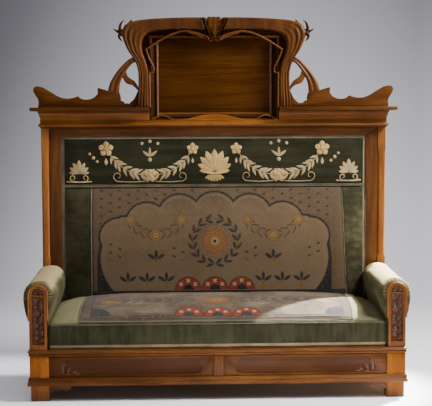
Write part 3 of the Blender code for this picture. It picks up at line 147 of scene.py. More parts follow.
def walnut(grain_axis, tone=1.0, grey=0.0, gloss=1.0, sunk=None, light_and_shade_band=None, darker_below=None):
    """Waxed walnut whose grain runs along an axis (0, 1 or 2) of the bench.

    Where sunk gives a face's depth and how far a field lies behind it, the walls of the field are
    painted nearly black as a painted shadow line, and its floor is darker and redder. Between the
    band's two heights the colour is multiplied by its third number: painted light where that is
    more than 1, painted shade where it is less. Below the last argument's height the wood is darker
    towards the floor.
    """
    key = (grain_axis, tone, grey, gloss, sunk, light_and_shade_band, darker_below)
    if key in walnut_made:
        return walnut_made[key]
    material, feed, place = new_material(
        f"waxed_walnut_{'xyz'[grain_axis]}_{len(walnut_made)}",
        Coat_Weight=0.04 * gloss, Coat_Roughness=0.25, Specular_IOR_Level=0.18 * gloss)
    stretch = [1.0, 1.0, 1.0]
    stretch[grain_axis] = GRAIN_STRETCH
    along = place.stretched(tuple(stretch), (3.1, 1.7, 0.9))
    figure = (along.speckle(6.0, 3.0, 0.6, 0.5) * 40.0).sine() * 0.5 + 0.5
    streak = along.speckle(150.0, 4.0, 0.65)
    pores = along.speckle(700.0, 2.0).over(0.60, 0.72)
    patches = place.speckle(3.0, 3.0)
    shade = figure * 0.12 + streak * 0.48 + patches * 0.40
    tones = []
    for colour in (WALNUT_DARK, WALNUT_MID, WALNUT_LIGHT):
        level = sum(colour) / 3
        tones.append(tuple(tone * (part + grey * (level - part)) for part in colour))
    stops = list(zip((0.34, 0.50, 0.66), tones))
    colour = shade.node("ValToRGB", {"stops": stops}, {0: shade})
    _x, y, z = place.parts()
    # A band of painted light where the gain is above 1, and of painted shade where it is below.
    if light_and_shade_band:
        low, high, gain = light_and_shade_band
        stops = [(stop, tuple(part * gain for part in old)) for stop, old in stops]
        paler = shade.node("ValToRGB", {"stops": stops}, {0: shade})
        band = z.over(low - EDGE_OF_BAND, low + EDGE_OF_BAND) - z.over(
            high - EDGE_OF_BAND, high + EDGE_OF_BAND)
        colour = band.most(0.0).between(colour, paler)
    colour = (pores * 0.5).between(colour, tones[0])
    # Darker towards the floor below the given height.
    if darker_below:
        tone_mask = (z + patches * 0.04).over(darker_below + 0.02, 0.015)
        colour = (tone_mask * 0.75).between(colour, LOW_FOOT_TONE)
    # Painted shade: the field's walls are painted nearly black as a shadow line, and its floor is
    # darker and redder.
    if sunk:
        face, depth, floor_shade = sunk
        red, green, blue = tones[0]
        floor = y.over(face + depth * 0.45, face + depth * 0.75)
        wall = y.over(face + depth * 0.10, face + depth * 0.30) - y.over(
            face + depth * 0.70, face + depth * 0.97)
        wall_shadow = tuple(part * 0.25 for part in tones[0])
        colour = (floor * floor_shade).between(colour, (red * 0.8, green * 0.6, blue))
        colour = (wall.most(0.0) * 0.85).between(colour, wall_shadow)
    feed("Base Color", colour)
    feed("Roughness", 0.36 + streak * 0.16 + pores * 0.20)
    feed("Height", (0.14, 0.0006, streak * 0.6 - pores * 1.2))
    walnut_made[key] = material
    return material


def dress(piece, *materials):
    """Give a piece its finishes, and no others."""
    piece.data.materials.clear()
    for material in materials:
        piece.data.materials.append(material)
    return piece


def polish(node, material):
    """Give a CAD node its finish."""
    dress(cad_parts[node], material)


def take_up(piece, *others):
    """Select a piece, and others with it, and nothing else."""
    bpy.ops.object.select_all(action="DESELECT")
    for each in (piece, *others):
        each.select_set(True)
    bpy.context.view_layer.objects.active = piece


@contextmanager
def all_of_it(piece):
    """Edit mode on a piece, with its whole mesh selected."""
    take_up(piece)
    bpy.ops.object.mode_set(mode="EDIT")
    bpy.ops.mesh.select_all(action="SELECT")
    yield
    bpy.ops.object.mode_set(mode="OBJECT")


def set_down(name, data):
    """A new object in the scene that shows some data."""
    piece = bpy.data.objects.new(name, data)
    bpy.context.scene.collection.objects.link(piece)
    return piece


def copy_of(node, name):
    """A merged copy of a CAD node's mesh that stands in its place, ready for finer work."""
    piece = set_down(name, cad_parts[node].data.copy())
    with all_of_it(piece):
        bpy.ops.mesh.remove_doubles(threshold=0.00002)
        bpy.ops.mesh.dissolve_limited(angle_limit=math.radians(0.6))
    if "custom_normal" in piece.data.attributes:
        piece.data.attributes.remove(piece.data.attributes["custom_normal"])
    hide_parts(node)
    return piece


def finish_with(piece, kind, **settings):
    """Add a modifier, set it and apply it."""
    take_up(piece)
    tool = piece.modifiers.new(kind, kind)
    for name, value in settings.items():
        setattr(tool, name, value)
    bpy.ops.object.modifier_apply(modifier=tool.name)


def hand_over(piece, material=None, body="carcass", smooth=40):
    """Give a finished piece its shading, a material if it has none, and the body it rides on."""
    take_up(piece)
    bpy.ops.object.shade_smooth_by_angle(angle=math.radians(smooth))
    if material:
        dress(piece, material)
    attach(piece, body)
    return piece


SHARP_EDGE = 28


def eased(node, arris, material, body="carcass"):
    """A copy of a board or moulding whose sharp edges are taken off, as by sandpaper."""
    piece = copy_of(node, node + "_eased")
    finish_with(
        piece, "BEVEL", width=arris, segments=2, limit_method="ANGLE",
        angle_limit=math.radians(SHARP_EDGE), use_clamp_overlap=True)
    return hand_over(piece, material, body)


# Painted shade: the pieces on the right are given a darker walnut than those on the left, to hold
# back the stronger light on that side.
for side, shade, wax in (("left", 1.0, 0.5), ("right", 0.66, 0.20)):
    eased("front_leg_" + side, 0.0018, walnut(2, 1.12 * shade, 0, wax, darker_below=0.12))
    eased("rear_post_" + side, 0.0018, walnut(2, 1.20 * shade, 0.06, 2 * wax))

# The brackets and plinth mouldings: walnut run through a moulding plane, mitred round the front
# corners and glued to the legs and the rail behind them.
HANDS = {"left": -1, "right": 1}
for side in HANDS:
    # Painted shade: the brackets are given a dark grey walnut, for the shade under the seat.
    eased("foot_bracket_" + side, 0.0014, walnut(0, 0.36, 0.25, 0.5))
    eased("base_moulding_" + side, 0.0010, walnut(1, 0.40, 0, 0.6))
    eased("side_panel_" + side, 0.0010, walnut(1, 0.55, 0, 0.5))
eased("base_moulding_front", 0.0010, walnut(0, 0.40, 0, 0.6))
eased("drawer_rail", 0.0008, walnut(0, 0.36, 0, 0.6))
eased("centre_stile", 0.0010, walnut(2, 0.36, 0, 0.6))

# The seat rails, the boards that carry the arms and the back board: framing walnut, of which
# only the nosed front rail is polished as brightly as the legs.
eased("seat_rail_front", 0.0008, walnut(0, 0.38, 0, 0.7))
for side in HANDS:
    eased("seat_rail_" + side, 0.0008, walnut(1, 0.50))
    eased("arm_panel_" + side, 0.0010, walnut(1, 0.60, 0, 0.5))
polish("back_board", walnut(2, 0.5, 0.2))
polish("drawer_partition", walnut(1, 0.8))
polish("seat_rail_rear", walnut(0, 0.8))

# The drawers: a walnut front with a sunken field that ends in hooked lobes, and a box of plain
# poplar, unpolished and yellowed, which slides on runners of the same timber.


def poplar():
    """Pale straight-grained timber, planed and left bare."""
    material, feed, place = new_material("bare_poplar", Specular_IOR_Level=0.25)
    along = place.stretched((1.0, 0.06, 1.0))
    streak = along.speckle(120.0, 4.0, 0.6)
    rings = (along.speckle(9.0, 2.0) * 60.0).sine() * 0.5 + 0.5
    shade = streak * 0.6 + rings * 0.4
    feed("Base Color", shade.between((0.30, 0.185, 0.085), (0.47, 0.33, 0.175)))
    feed("Roughness", 0.62 + streak * 0.15)
    feed("Height", (0.2, 0.0006, streak))
    return material


DRAWER_FACE_Y = -0.314
DRAWER_FIELD = (DRAWER_FACE_Y, 0.005, 0.50)
box_timber = poplar()
for side in HANDS:
    drawer = "drawer_" + side
    eased("drawer_front_" + side, 0.0008, walnut(0, 0.28, 0, 0.5, DRAWER_FIELD), drawer)
    for board in ("drawer_side_outer_", "drawer_side_inner_", "drawer_back_", "drawer_bottom_"):
        polish(board + side, box_timber)
    polish("drawer_runner_" + side, box_timber)

# The sprigs in the drawers' fields: three small walnut leaves in each lower outer corner, carved
# from one chip and let into the field's floor.


def joined(name, pieces):
    """Several meshes made into one piece, which keeps their materials."""
    take_up(*pieces)
    bpy.ops.object.join()
    whole = bpy.context.active_object
    whole.name = name
    return whole


def walled(piece, thickness):
    """Give a sheet its thickness, with every face turned outwards."""
    finish_with(piece, "SOLIDIFY", thickness=thickness, offset=0)
    with all_of_it(piece):
        bpy.ops.mesh.normals_make_consistent(inside=False)
    return piece


def leaf(name, length, width, swell, belly=0.42, vein=0.35, curl=0.0):
    """One leaf or petal that lies along +X on the plane y = 0 and swells towards -Y."""
    bpy.ops.object.select_all(action="DESELECT")
    bpy.ops.mesh.primitive_grid_add(x_subdivisions=11, y_subdivisions=6, size=2)
    piece = bpy.context.active_object
    piece.name = name
    bend = math.log(0.5) / math.log(belly)
    for vert in piece.data.vertices:
        along = (vert.co.x + 1) / 2
        side = vert.co.y
        full = math.sin(math.pi * along ** bend)
        dome = math.sqrt(max(0, 1 - side * side)) - vein * math.exp(-((side / 0.2) ** 2))
        rise = side * width / 2 * full + curl * length * along * along
        vert.co = (length * along, -swell * (0.25 + dome * math.sqrt(max(0, full))), rise)
    with all_of_it(piece):
        bpy.ops.mesh.remove_doubles(threshold=0.00005)
    return walled(piece, swell * 0.25)


def set_out(master, name, places):
    """Copies of one shape at (across, up, turn in degrees, scale), joined in one piece."""
    copies = []
    for across, up, turn, scale in places:
        mesh = master.data.copy()
        mesh.transform(
            Matrix.Translation((across, 0, up)) @ Matrix.Rotation(-math.radians(turn), 4, "Y")
            @ Matrix.Scale(scale, 4))
        copies.append(set_down(name, mesh))
    bpy.data.objects.remove(master)
    return joined(name, copies)


def both_sides(places):
    """The same places on the right and, turned over, on the left."""
    return places + [(-across, up, 180 - turn, scale) for across, up, turn, scale in places]


def moved_back(piece, depth):
    """Set a flat ornament on a floor or a cover that lies at some depth."""
    piece.data.transform(Matrix.Translation((0, depth, 0)))
    return piece


SPRIG_FLOOR_Y = -0.3092
SPRIG_TWIGS = (
    (0.842, 0.150, -62, 1), (0.846, 0.152, -20, 0.95), (0.838, 0.147, 98, 1.15),
    (0.800, 0.151, 60, 0.9), (0.850, 0.166, -8, 1.0), (0.826, 0.156, 24, 1.0),
    (0.786, 0.148, 84, 0.9), (0.852, 0.184, 30, 0.8))
for side, way in HANDS.items():
    twigs = [(way * across, up, 90 + way * lean, scale) for across, up, lean, scale in SPRIG_TWIGS]
    sprig_leaf = leaf("sprig_leaf", 0.036, 0.013, 0.0022, 0.45, 0.4)
    sprig = moved_back(set_out(sprig_leaf, "drawer_sprig_" + side, twigs), SPRIG_FLOOR_Y)
    # Painted highlight: the leaves are paler and greyer than the field, for the light on the
    # carving.
    hand_over(
        sprig, walnut(0, 0.46, 0.35, 1.4), "drawer_" + side, smooth=60)

# The webbing under the seat: straps of plain jute tape that carry the springs. They are woven in
# and out of each other, drawn tight and tacked to the rails.
JUTE_THREADS = 2100.0


def jute():
    """Coarse brown tape with a plain weave and two dark warp lines."""
    material, feed, place = new_material("jute_tape", Specular_IOR_Level=0.15)
    across, back, _up = place.parts()
    warp = (across * JUTE_THREADS).sine()
    weft = (back * JUTE_THREADS).sine()
    weave = warp * weft
    mottle = place.speckle(60.0, 3.0)
    shade = mottle * 0.7 + weave * 0.15 + 0.1
    feed("Base Color", shade.between((0.13, 0.080, 0.034), (0.34, 0.235, 0.120)))
    feed("Roughness", 0.85 + mottle * 0.1)
    feed("Height", (0.6, 0.0008, weave))
    return material


polish("seat_webbing", jute())

# The seat: springs and horsehair under canvas, covered in a tapestry panel with velvet ends and
# a boxed velvet front. The cover is sewn along the braids, drawn tight and nailed to the rails.
OLIVE_DARK = (0.022, 0.021, 0.0095)
OLIVE_MID = (0.060, 0.056, 0.0270)
OLIVE_WORN_AND_LIT = (0.140, 0.126, 0.0560)
SEAT_CREAM = (0.195, 0.172, 0.0920)
SHEEN_TINT = (0.75, 0.74, 0.38, 1)
PAINTED_CREASE_SHADE = (0.020, 0.017, 0.008)
PAINTED_FOLD_HIGHLIGHT = (0.230, 0.185, 0.086)
COVER_STIFFNESS = 0.5
COVER_MASS = 0.3
AIR_PRESSURE = 4
FILLING_STEPS = 20
PANEL_SEAM_X = 0.769
SEAT_SEAM_Y = -0.284
SEAM_LEAN = 0.0714
SEAM_BEND_Y = 0.080
SEAT_EDGE_Z = 0.4283


def velvet(name, streaks, wear_and_light, cream, bleached_and_lit=SEAT_CREAM, tone=1.0, folds=None):
    """Mohair velvet: a dark pile that greys where it is rubbed and bleaches where light falls. Its
    paler olive and cream also stand in for light, as painted light where more light falls.

    Where the cover is gathered, folds gives how much, and 0 in a crease to 1 on a fold; the creases
    are painted dark as painted shade and the folds pale as a painted highlight.
    """
    material, feed, place = new_material(
        name, Sheen_Weight=0.16, Sheen_Roughness=0.45, Sheen_Tint=SHEEN_TINT,
        Specular_IOR_Level=0.08)
    pile = place.speckle(1500.0, 2.0, 0.6)
    brushed = place.stretched(streaks).speckle(30.0, 4.0, 0.6)
    patches = place.speckle(5.0, 4.0, 0.6)
    shade = brushed * 0.5 + patches * 0.5
    dark, mid, rubbed = [
        tuple(part * tone for part in colour) for colour in (OLIVE_DARK, OLIVE_MID, OLIVE_WORN_AND_LIT)]
    colour = shade.over(0.36, 0.66).between(dark, mid)
    ragged = (brushed - 0.5) * 0.5 + (patches - 0.5) * 0.5 + (pile - 0.5) * 0.25
    x, y, z = place.parts()
    # The paler colours carry wear and the sun's bleaching, and painted light where the masks say
    # so.
    for paler_colour, paling in ((rubbed, wear_and_light), (bleached_and_lit, cream)):
        if paling:
            amount = paling(x, y, z) + ragged
            colour = amount.over(0.30, 0.70).between(colour, paler_colour)
    if folds:
        gathered, ridge = folds(x, y, z)
        # Painted shade in the creases and a painted highlight on the folds.
        ridge = (ridge + (pile - 0.5) * 0.5).between(PAINTED_CREASE_SHADE, PAINTED_FOLD_HIGHLIGHT)
        colour = gathered.between(colour, ridge)
    feed("Base Color", (pile * 0.5).between(colour, dark))
    feed("Roughness", 0.82 + pile * 0.12)
    feed("Height", (0.35, 0.0010, pile + brushed * 0.8))
    return material


def stuff(node, name, grid, tuck, cap, held, rounds=3):
    """Grow a pad from its CAD solid: take it in, mesh it evenly and let air pressure fill it.

    The cover is nailed where held says so, and no place on it moves by more than cap.
    """
    pad = copy_of(node, name)
    with all_of_it(pad):
        bpy.ops.transform.shrink_fatten(value=-tuck)
    finish_with(pad, "REMESH", mode="VOXEL", voxel_size=grid)
    finish_with(pad, "SMOOTH", factor=0.5, iterations=rounds)
    start = [vert.co.copy() for vert in pad.data.vertices]
    nails = pad.vertex_groups.new(name="nails")
    nails.add([vert.index for vert in pad.data.vertices if held(vert.co)], 1.0, "REPLACE")
    take_up(pad)
    filling = pad.modifiers.new("filling", "CLOTH")
    filling.settings.quality = 4
    filling.settings.mass = COVER_MASS
    filling.settings.bending_stiffness = COVER_STIFFNESS
    filling.settings.use_pressure = True
    filling.settings.uniform_pressure_force = AIR_PRESSURE
    filling.settings.effector_weights.gravity = 0
    filling.settings.vertex_group_mass = nails.name
    for step in range(FILLING_STEPS):
        bpy.context.scene.frame_set(step + 1)
    bpy.ops.object.modifier_apply(modifier=filling.name)
    for vert, rest in zip(pad.data.vertices, start):
        moved = vert.co - rest
        if moved.length > cap:
            vert.co = rest + moved * (cap / moved.length)
    pad.vertex_groups.clear()
    bpy.context.scene.frame_set(1)
    finish_with(pad, "SMOOTH", factor=0.5, iterations=2)
    finish_with(pad, "SUBSURF", levels=1, render_levels=1)
    return pad


def ruffle(pad, depth, pace):
    """Leave the cover a little uneven, as stuffing does."""
    normals = [vert.normal.copy() for vert in pad.data.vertices]
    for vert, normal in zip(pad.data.vertices, normals):
        spot = Vector([part * times for part, times in zip(vert.co, pace)])
        vert.co += normal * depth * noise.noise(spot)


def sew(pad, seams, depth, width):
    """Draw a pad in along its seams, where each seam gives a point's distance from its line."""
    normals = [vert.normal.copy() for vert in pad.data.vertices]
    for vert, normal in zip(pad.data.vertices, normals):
        near = min(seam(vert.co, normal) for seam in seams)
        if near < 3 * width:
            vert.co -= normal * depth * math.exp(-((near / width) ** 2))


FAR = 1.0
SEAT_LIP_Y = -0.312


def seat_seam_x(across, depth):
    """Where a seat braid lies: the right one comes in a little towards the front."""
    return PANEL_SEAM_X - (SEAM_LEAN * max(0.0, SEAM_BEND_Y - depth) if across > 0 else 0.0)


def seat_side_seam(spot, normal):
    """The seams under the braids that part the panel from the velvet ends."""
    if normal.z < 0.3 or spot.y < SEAT_SEAM_Y:
        return FAR
    return abs(abs(spot.x) - seat_seam_x(spot.x, spot.y))


def seat_front_seam(spot, normal):
    """The seam along the panel's front edge."""
    on_panel = normal.z > 0.3 and abs(spot.x) < seat_seam_x(spot.x, SEAT_SEAM_Y)
    return abs(spot.y - SEAT_SEAM_Y) if on_panel else FAR


def seat_edge_seam(spot, normal):
    """The seam under the cord, where the top meets the boxed front."""
    return math.hypot(spot.y - SEAT_LIP_Y, spot.z - SEAT_EDGE_Z + 0.006) * 1.3


seat = stuff(
    "seat_pad", "seat_cushion", 0.0105, 0.0035, 0.008,
    lambda spot: spot.z < 0.31 or abs(spot.x) > 0.915 or spot.y > 0.235 and spot.z < 0.43)
ruffle(seat, 0.0020, (6, 6, 5))
sew(seat, (seat_side_seam, seat_front_seam), 0.0045, 0.007)
sew(seat, (seat_edge_seam,), 0.0020, 0.005)

TAUPE_DARK = (0.050, 0.0310, 0.0180)
TAUPE_MID = (0.092, 0.0580, 0.0290)
TAUPE_PALE = (0.150, 0.1060, 0.0620)
NAVY = (0.0075, 0.0090, 0.0115)
RUST = (0.180, 0.0230, 0.0100)
OCHRE = (0.180, 0.0950, 0.0220)
INK = (0.0140, 0.0110, 0.0080)
CHALK = (0.300, 0.2250, 0.1350)
DRAWN_EDGE = 0.0012
FINE_EDGE = 0.0010
LAUREL_SPREAD = 28


def together(masks):
    """One mask that is 1 wherever any of several is."""
    return reduce(Wire.most, masks)


class Cloth2D:
    """A flat drawing on a cover, in metres: masks from 0 to 1, and the colour painted so far."""

    def __init__(self, across, up, colour=None):
        self.across = across
        self.up = up
        self.colour = colour
        self.flat = across.node("CombineXYZ", None, {0: across, 1: up, 2: 0.0})

    def paint(self, mask, colour):
        """Lay a colour over the drawing where a mask says so."""
        self.colour = mask.between(self.colour, colour)

    def reach(self, centre):
        """How far a place lies from a centre."""
        return self.flat.node(
            "VectorMath", {"operation": "DISTANCE"}, {0: self.flat, 1: (*centre, 0.0)}, out=1)

    def spot(self, centre, radius, soft=DRAWN_EDGE):
        return self.reach(centre).over(radius + soft, radius - soft)

    def ring(self, centre, radius, width):
        return (self.reach(centre) - radius).size().over(width + FINE_EDGE, width - FINE_EDGE)

    def petals(self, centre, count, radius, waist):
        """Petals round a centre, as long as radius and drawn in to a share of it between them."""
        offset = self.flat.node(
            "VectorMath", {"operation": "SUBTRACT"}, {0: self.flat, 1: (*centre, 0.0)})
        side, rise, _none = offset.parts()
        angle = rise.angle_to(side)
        wave = (angle * (count / 2)).sine().size()
        edge = (wave * (1 - waist) + waist) * radius
        return (self.reach(centre) - edge).over(DRAWN_EDGE, -DRAWN_EDGE)

    def seeds(self, pitch, size):
        """Small slanted seeds set out in a half-drop repeat."""
        column = self.across / pitch[0]
        row = self.up / pitch[1] + column.whole().modulo(2.0) * 0.5
        side = (column.rest() - 0.5) * pitch[0]
        rise = (row.rest() - 0.5) * pitch[1]
        slant = side * 0.9 + rise * 0.4
        cross = rise * 0.9 - side * 0.4
        far = (slant / size[0]).power(2.0) + (cross / size[1]).power(2.0)
        return far.over(1.25, 0.75)

    def within(self, side, foot, soft):
        """The part that lies between the middle and a side, and above a foot."""
        return self.across.over(side + soft, side - soft) * self.up.over(foot - soft, foot + soft)

    def oval(self, centre, radii):
        """How far a place lies outside an oval, in metres."""
        side = (self.across - centre[0]) / radii[0]
        rise = (self.up - centre[1]) / radii[1]
        return ((side.power(2.0) + rise.power(2.0)).power(0.5) - 1) * min(radii)

    def almond(self, centre, length, width, turn):
        """A pointed leaf round a centre, turned so many degrees up from the way across."""
        curve = (length ** 2 + width ** 2) / (4 * width)
        lean = math.radians(turn)
        aside = (curve - width / 2) * math.sin(lean)
        above = (curve - width / 2) * math.cos(lean)
        far = self.reach((centre[0] - aside, centre[1] + above)).most(
            self.reach((centre[0] + aside, centre[1] - above)))
        return far.over(curve + FINE_EDGE, curve - FINE_EDGE)

    def laurel(self, centre, radius, angles, length, width):
        """Leaves in pairs along part of a ring, which point the way that the angles go."""
        leaves = []
        way = 1 if angles[-1] > angles[0] else -1
        for angle in angles:
            lean = math.radians(angle)
            for side in (-1, 1):
                far = radius + side * (width * 0.45 + length * 0.12)
                here = (centre[0] + far * math.cos(lean), centre[1] + far * math.sin(lean))
                turn = angle + way * (90 - side * LAUREL_SPREAD)
                leaves.append(self.almond(here, length, width, turn))
        return together(leaves)

    def row(self, pitch, offset=0.0):
        """The same cloth, drawn over and over along its foot."""
        step = self.across / pitch + 0.5 + offset
        return Cloth2D((step.rest() - 0.5) * pitch, self.up)


TAPESTRY_RIBS = 2600.0
TAPESTRY_WEFT = 3900.0


def woven(colour, place, feed, rib_axis):
    """The ribs, slubs, dirt and fraying of tapestry over a drawn colour."""
    parts = place.parts()
    rib = (parts[rib_axis] * TAPESTRY_RIBS).sine()
    weft = (parts[0] * TAPESTRY_WEFT).sine()
    slubs = place.stretched((0.12, 1.0, 1.0)).speckle(420.0, 3.0, 0.7)
    dirt = place.speckle(3.4, 5.0, 0.65)
    fray = place.speckle(150.0, 3.0, 0.7)
    colour = ((slubs - 0.47) * 0.9).between(colour, CHALK)
    colour = ((dirt - 0.42) * 0.8).between(colour, TAUPE_DARK)
    colour = (fray.over(0.56, 0.78) * 0.20).between(colour, TAUPE_PALE)
    feed("Base Color", colour)
    feed("Roughness", 0.86 + slubs * 0.1)
    feed("Height", (0.5, 0.0009, rib * 0.35 + weft * 0.25 + slubs * 0.9 + fray * 0.5))


ROSETTE_LINE = (0.055, 0.018, 0.008)
ROSETTE_ORANGE = (0.200, 0.052, 0.016)


def rosette(drawing, centre, petals, size, tint):
    """A round flower with two rings of petals, a pale heart and a dark eye."""
    bloom = drawing.petals(centre, petals, size, 0.78)
    fill = (drawing.reach(centre) / size).over(0.30, 1.0).between(OCHRE, tint)
    drawing.paint(bloom * 0.78, fill)
    outer_line = bloom - drawing.petals(centre, petals, size - 0.0032, 0.78)
    inner = size * 0.62
    inner_line = drawing.petals(centre, petals, inner, 0.70) - drawing.petals(
        centre, petals, inner - 0.0026, 0.70)
    drawing.paint(outer_line.most(inner_line).most(0.0) * 0.75, ROSETTE_LINE)
    drawing.paint(drawing.petals(centre, 10, size * 0.30, 0.45) * 0.7, CHALK)
    drawing.paint(drawing.spot(centre, size * 0.13), INK)


def fan_row(drawing, foot, size, half_length, dark):
    """Red half-round fans side by side along a foot, each with chalk lozenges round its heart."""
    fans = drawing.row(2 * size)
    here = drawing.within(half_length, foot, 0.001)
    for radius, tint in ((size - 0.001, INK), (size - 0.005, RUST), (size * 0.40, dark)):
        drawing.paint(fans.spot((0.0, foot), radius) * here, tint)
    for angle in (38, 90, 142):
        lean = math.radians(angle)
        centre = (size * 0.68 * math.cos(lean), foot + size * 0.68 * math.sin(lean))
        drawing.paint(fans.petals(centre, 4, size * 0.17, 0.45) * here, CHALK)


SEAT_NAVY = (0.0200, 0.0220, 0.0270)
SEAT_FIELD_FRONT = -0.250
SEAT_FIELD_X = 0.706
SEAT_BAND_Y = -0.040
FAN_SIZE = 0.080
FAN_ROW_HALF = 0.240


def seat_tapestry():
    """Own design for the seat: a laurel band with rosettes, a row of fans and dark corners."""
    material, feed, place = new_material(
        "seat_tapestry", Sheen_Weight=0.06, Sheen_Roughness=0.5, Specular_IOR_Level=0.10)
    x, y, _z = place.parts()
    mottle = place.speckle(9.0, 4.0, 0.6)
    ground = mottle.over(0.35, 0.65).between((0.064, 0.0440, 0.0265), (0.112, 0.0820, 0.0540))
    drawing = Cloth2D(x.size(), y, ground)
    faded_streaks = place.stretched((0.35, 1.0, 1.0)).speckle(11.0, 5.0, 0.65)
    drawing.paint(faded_streaks.over(0.50, 0.68) * 0.45, (0.205, 0.1640, 0.1150))
    panel = drawing.within(SEAT_FIELD_X, SEAT_FIELD_FRONT, 0.002)
    drawing.paint((1 - panel) * 0.5, (0.048, 0.0350, 0.0195))
    inset = (SEAT_FIELD_X - drawing.across).least(drawing.up - SEAT_FIELD_FRONT)
    for gap, strength in ((0.003, 0.9), (0.024, 0.5)):
        line = (inset - gap).size().over(0.0040, 0.0018)
        drawing.paint(line * panel * strength, SEAT_NAVY)
    corner = drawing.spot((SEAT_FIELD_X, SEAT_FIELD_FRONT), 0.110, 0.003) * panel
    drawing.paint(corner, SEAT_NAVY)
    fan_row(drawing, SEAT_FIELD_FRONT + 0.004, FAN_SIZE, FAN_ROW_HALF, SEAT_NAVY)
    leaves = together([
        drawing.almond((0.150 + 0.062 * step, SEAT_BAND_Y + side * 0.021), 0.066, 0.024, side * 30)
        for step in range(7) for side in (-1, 1)])
    drawing.paint(leaves * 0.85, SEAT_NAVY)
    rosette(drawing, (0.0, SEAT_BAND_Y), 10, 0.082, ROSETTE_ORANGE)
    rosette(drawing, (0.615, SEAT_BAND_Y), 8, 0.048, OCHRE)
    berries = drawing.row(0.150, 0.5).spot((0.0, -0.135), 0.012) * drawing.across.over(0.50, 0.49)
    drawing.paint(berries * 0.7, OCHRE)
    for strip in (SEAT_FIELD_FRONT - 0.004, SEAT_FIELD_FRONT - 0.019):
        edge = (drawing.up - strip).size().over(0.0022, 0.0010)
        drawing.paint(edge * 0.6, INK)
    worn_streaks = place.stretched((1.0, 0.10, 1.0)).speckle(46.0, 3.0, 0.7).over(0.55, 0.72)
    worn_front = drawing.up.over(-0.12, -0.27)
    drawing.paint(worn_streaks * worn_front * 0.5, TAUPE_PALE)
    woven(drawing.colour, place, feed, 1)
    return material


def beside_panel(x, y):
    """1 on the velvet ends of the seat, and 0 on its panel and in front of it."""
    seam = PANEL_SEAM_X - (SEAM_BEND_Y - y).most(0.0) * SEAM_LEAN * x.over(-0.001, 0.001)
    return (x.size() - seam).over(-0.004, 0.004)


def seat_ends_worn(x, y, z):
    """How far the pile is rubbed: on the top, and most on its ends."""
    return z.over(0.395, 0.432) * (0.45 + beside_panel(x, y) * 0.55)


def seat_ends_bleach_and_light(x, y, z):
    """How far the sun bleaches the pile, with painted light on top, and painted shade near the arms
    and the back.
    """
    on_top = z.over(0.418, 0.434)
    # Painted shade near the arms and the back.
    out_of_arm_shade = x.size().over(0.915, 0.860)
    out_of_back_shade = y.over(0.20, 0.06)
    at_ends = 0.15 + beside_panel(x, y) * 0.95
    return on_top * (0.35 + out_of_arm_shade * 0.45) * (0.55 + out_of_back_shade * 0.45) * at_ends


seat_velvet = velvet("seat_velvet", (1.0, 1.0, 0.10), seat_ends_worn, seat_ends_bleach_and_light, tone=0.80)
hand_over(seat, seat_velvet, smooth=60)
seat.data.materials.append(seat_tapestry())
PANEL_FOOT_Z = 0.40
for face in seat.data.polygons:
    across, depth, up = face.center
    inside = abs(across) < seat_seam_x(across, depth) and depth > SEAT_SEAM_Y
    face.material_index = int(inside and up > PANEL_FOOT_Z)

# The seat's trim: a two-coloured twisted braid over the panel's seams with a dark cord inside it,
# a corded edge along the front, and a flat woven gimp that hides the nails above the rail.
BRAID_RADIUS = 0.0021
BRAID_PITCH = 0.0105
BRAID_TURN_STEPS = 6
BRAID_STEP = BRAID_PITCH / BRAID_TURN_STEPS
CORD_STEP = 0.006
GIMP_STEP = 0.0026
GIMP_THICKNESS = 0.0009
GIMP_PLAIT = 0.0095
PRESS_FROM = 0.25
INWARD = Vector((0, 1, 0))
DOWNWARD = Vector((0, 0, -1))


class Cover:
    """The surface of one or more stuffed pads, on which trim is laid."""

    def __init__(self, *pads):
        spots, faces = [], []
        for pad in pads:
            first = len(spots)
            spots += [vert.co.copy() for vert in pad.data.vertices]
            faces += [[first + corner for corner in face.vertices] for face in pad.data.polygons]
        self.tree = BVHTree.FromPolygons(spots, faces)

    def under(self, spot, way):
        """The place where a point comes to rest when it is pressed on the cover."""
        struck = self.tree.ray_cast(spot - way * PRESS_FROM, way)[0]
        return struck or self.tree.find_nearest(spot)[0]

    def line(self, corners, way, step):
        """Even steps along a line of corners, each pressed on the cover."""
        spots = []
        for first, last in zip(corners, corners[1:]):
            first, last = Vector(first), Vector(last)
            steps = max(1, round((last - first).length / step))
            spots += [first.lerp(last, number / steps) for number in range(steps)]
        spots.append(Vector(corners[-1]))
        return [self.under(spot, way) for spot in spots]


def yarn(name, light, dark):
    """Spun wool or silk thread."""
    material, feed, place = new_material(name, Sheen_Weight=0.15, Specular_IOR_Level=0.2)
    fluff = place.speckle(700.0, 3.0, 0.6)
    tone_mask = place.speckle(9.0, 4.0, 0.6)
    feed("Base Color", (fluff * 0.5 + tone_mask * 0.5).over(0.35, 0.65).between(dark, light))
    feed("Roughness", 0.75 + fluff * 0.2)
    feed("Height", (0.3, 0.0006, fluff))
    return material


def thread(name, spots, radius, thinning=None, sides=1):
    """A round thread, stem or rod along a line of places, which may thin on its way."""
    bpy.ops.object.select_all(action="DESELECT")
    bpy.ops.curve.primitive_nurbs_path_add()
    line = bpy.context.active_object
    line.name = name
    spline = line.data.splines[0]
    spline.type = "POLY"
    spline.points.add(len(spots) - len(spline.points))
    for number, (knot, spot) in enumerate(zip(spline.points, spots)):
        knot.co = (*spot, 1)
        knot.radius = thinning(number / (len(spots) - 1)) if thinning else 1
    line.data.bevel_depth = radius
    line.data.bevel_resolution = sides
    line.data.use_fill_caps = True
    bpy.ops.object.convert(target="MESH")
    return bpy.context.active_object


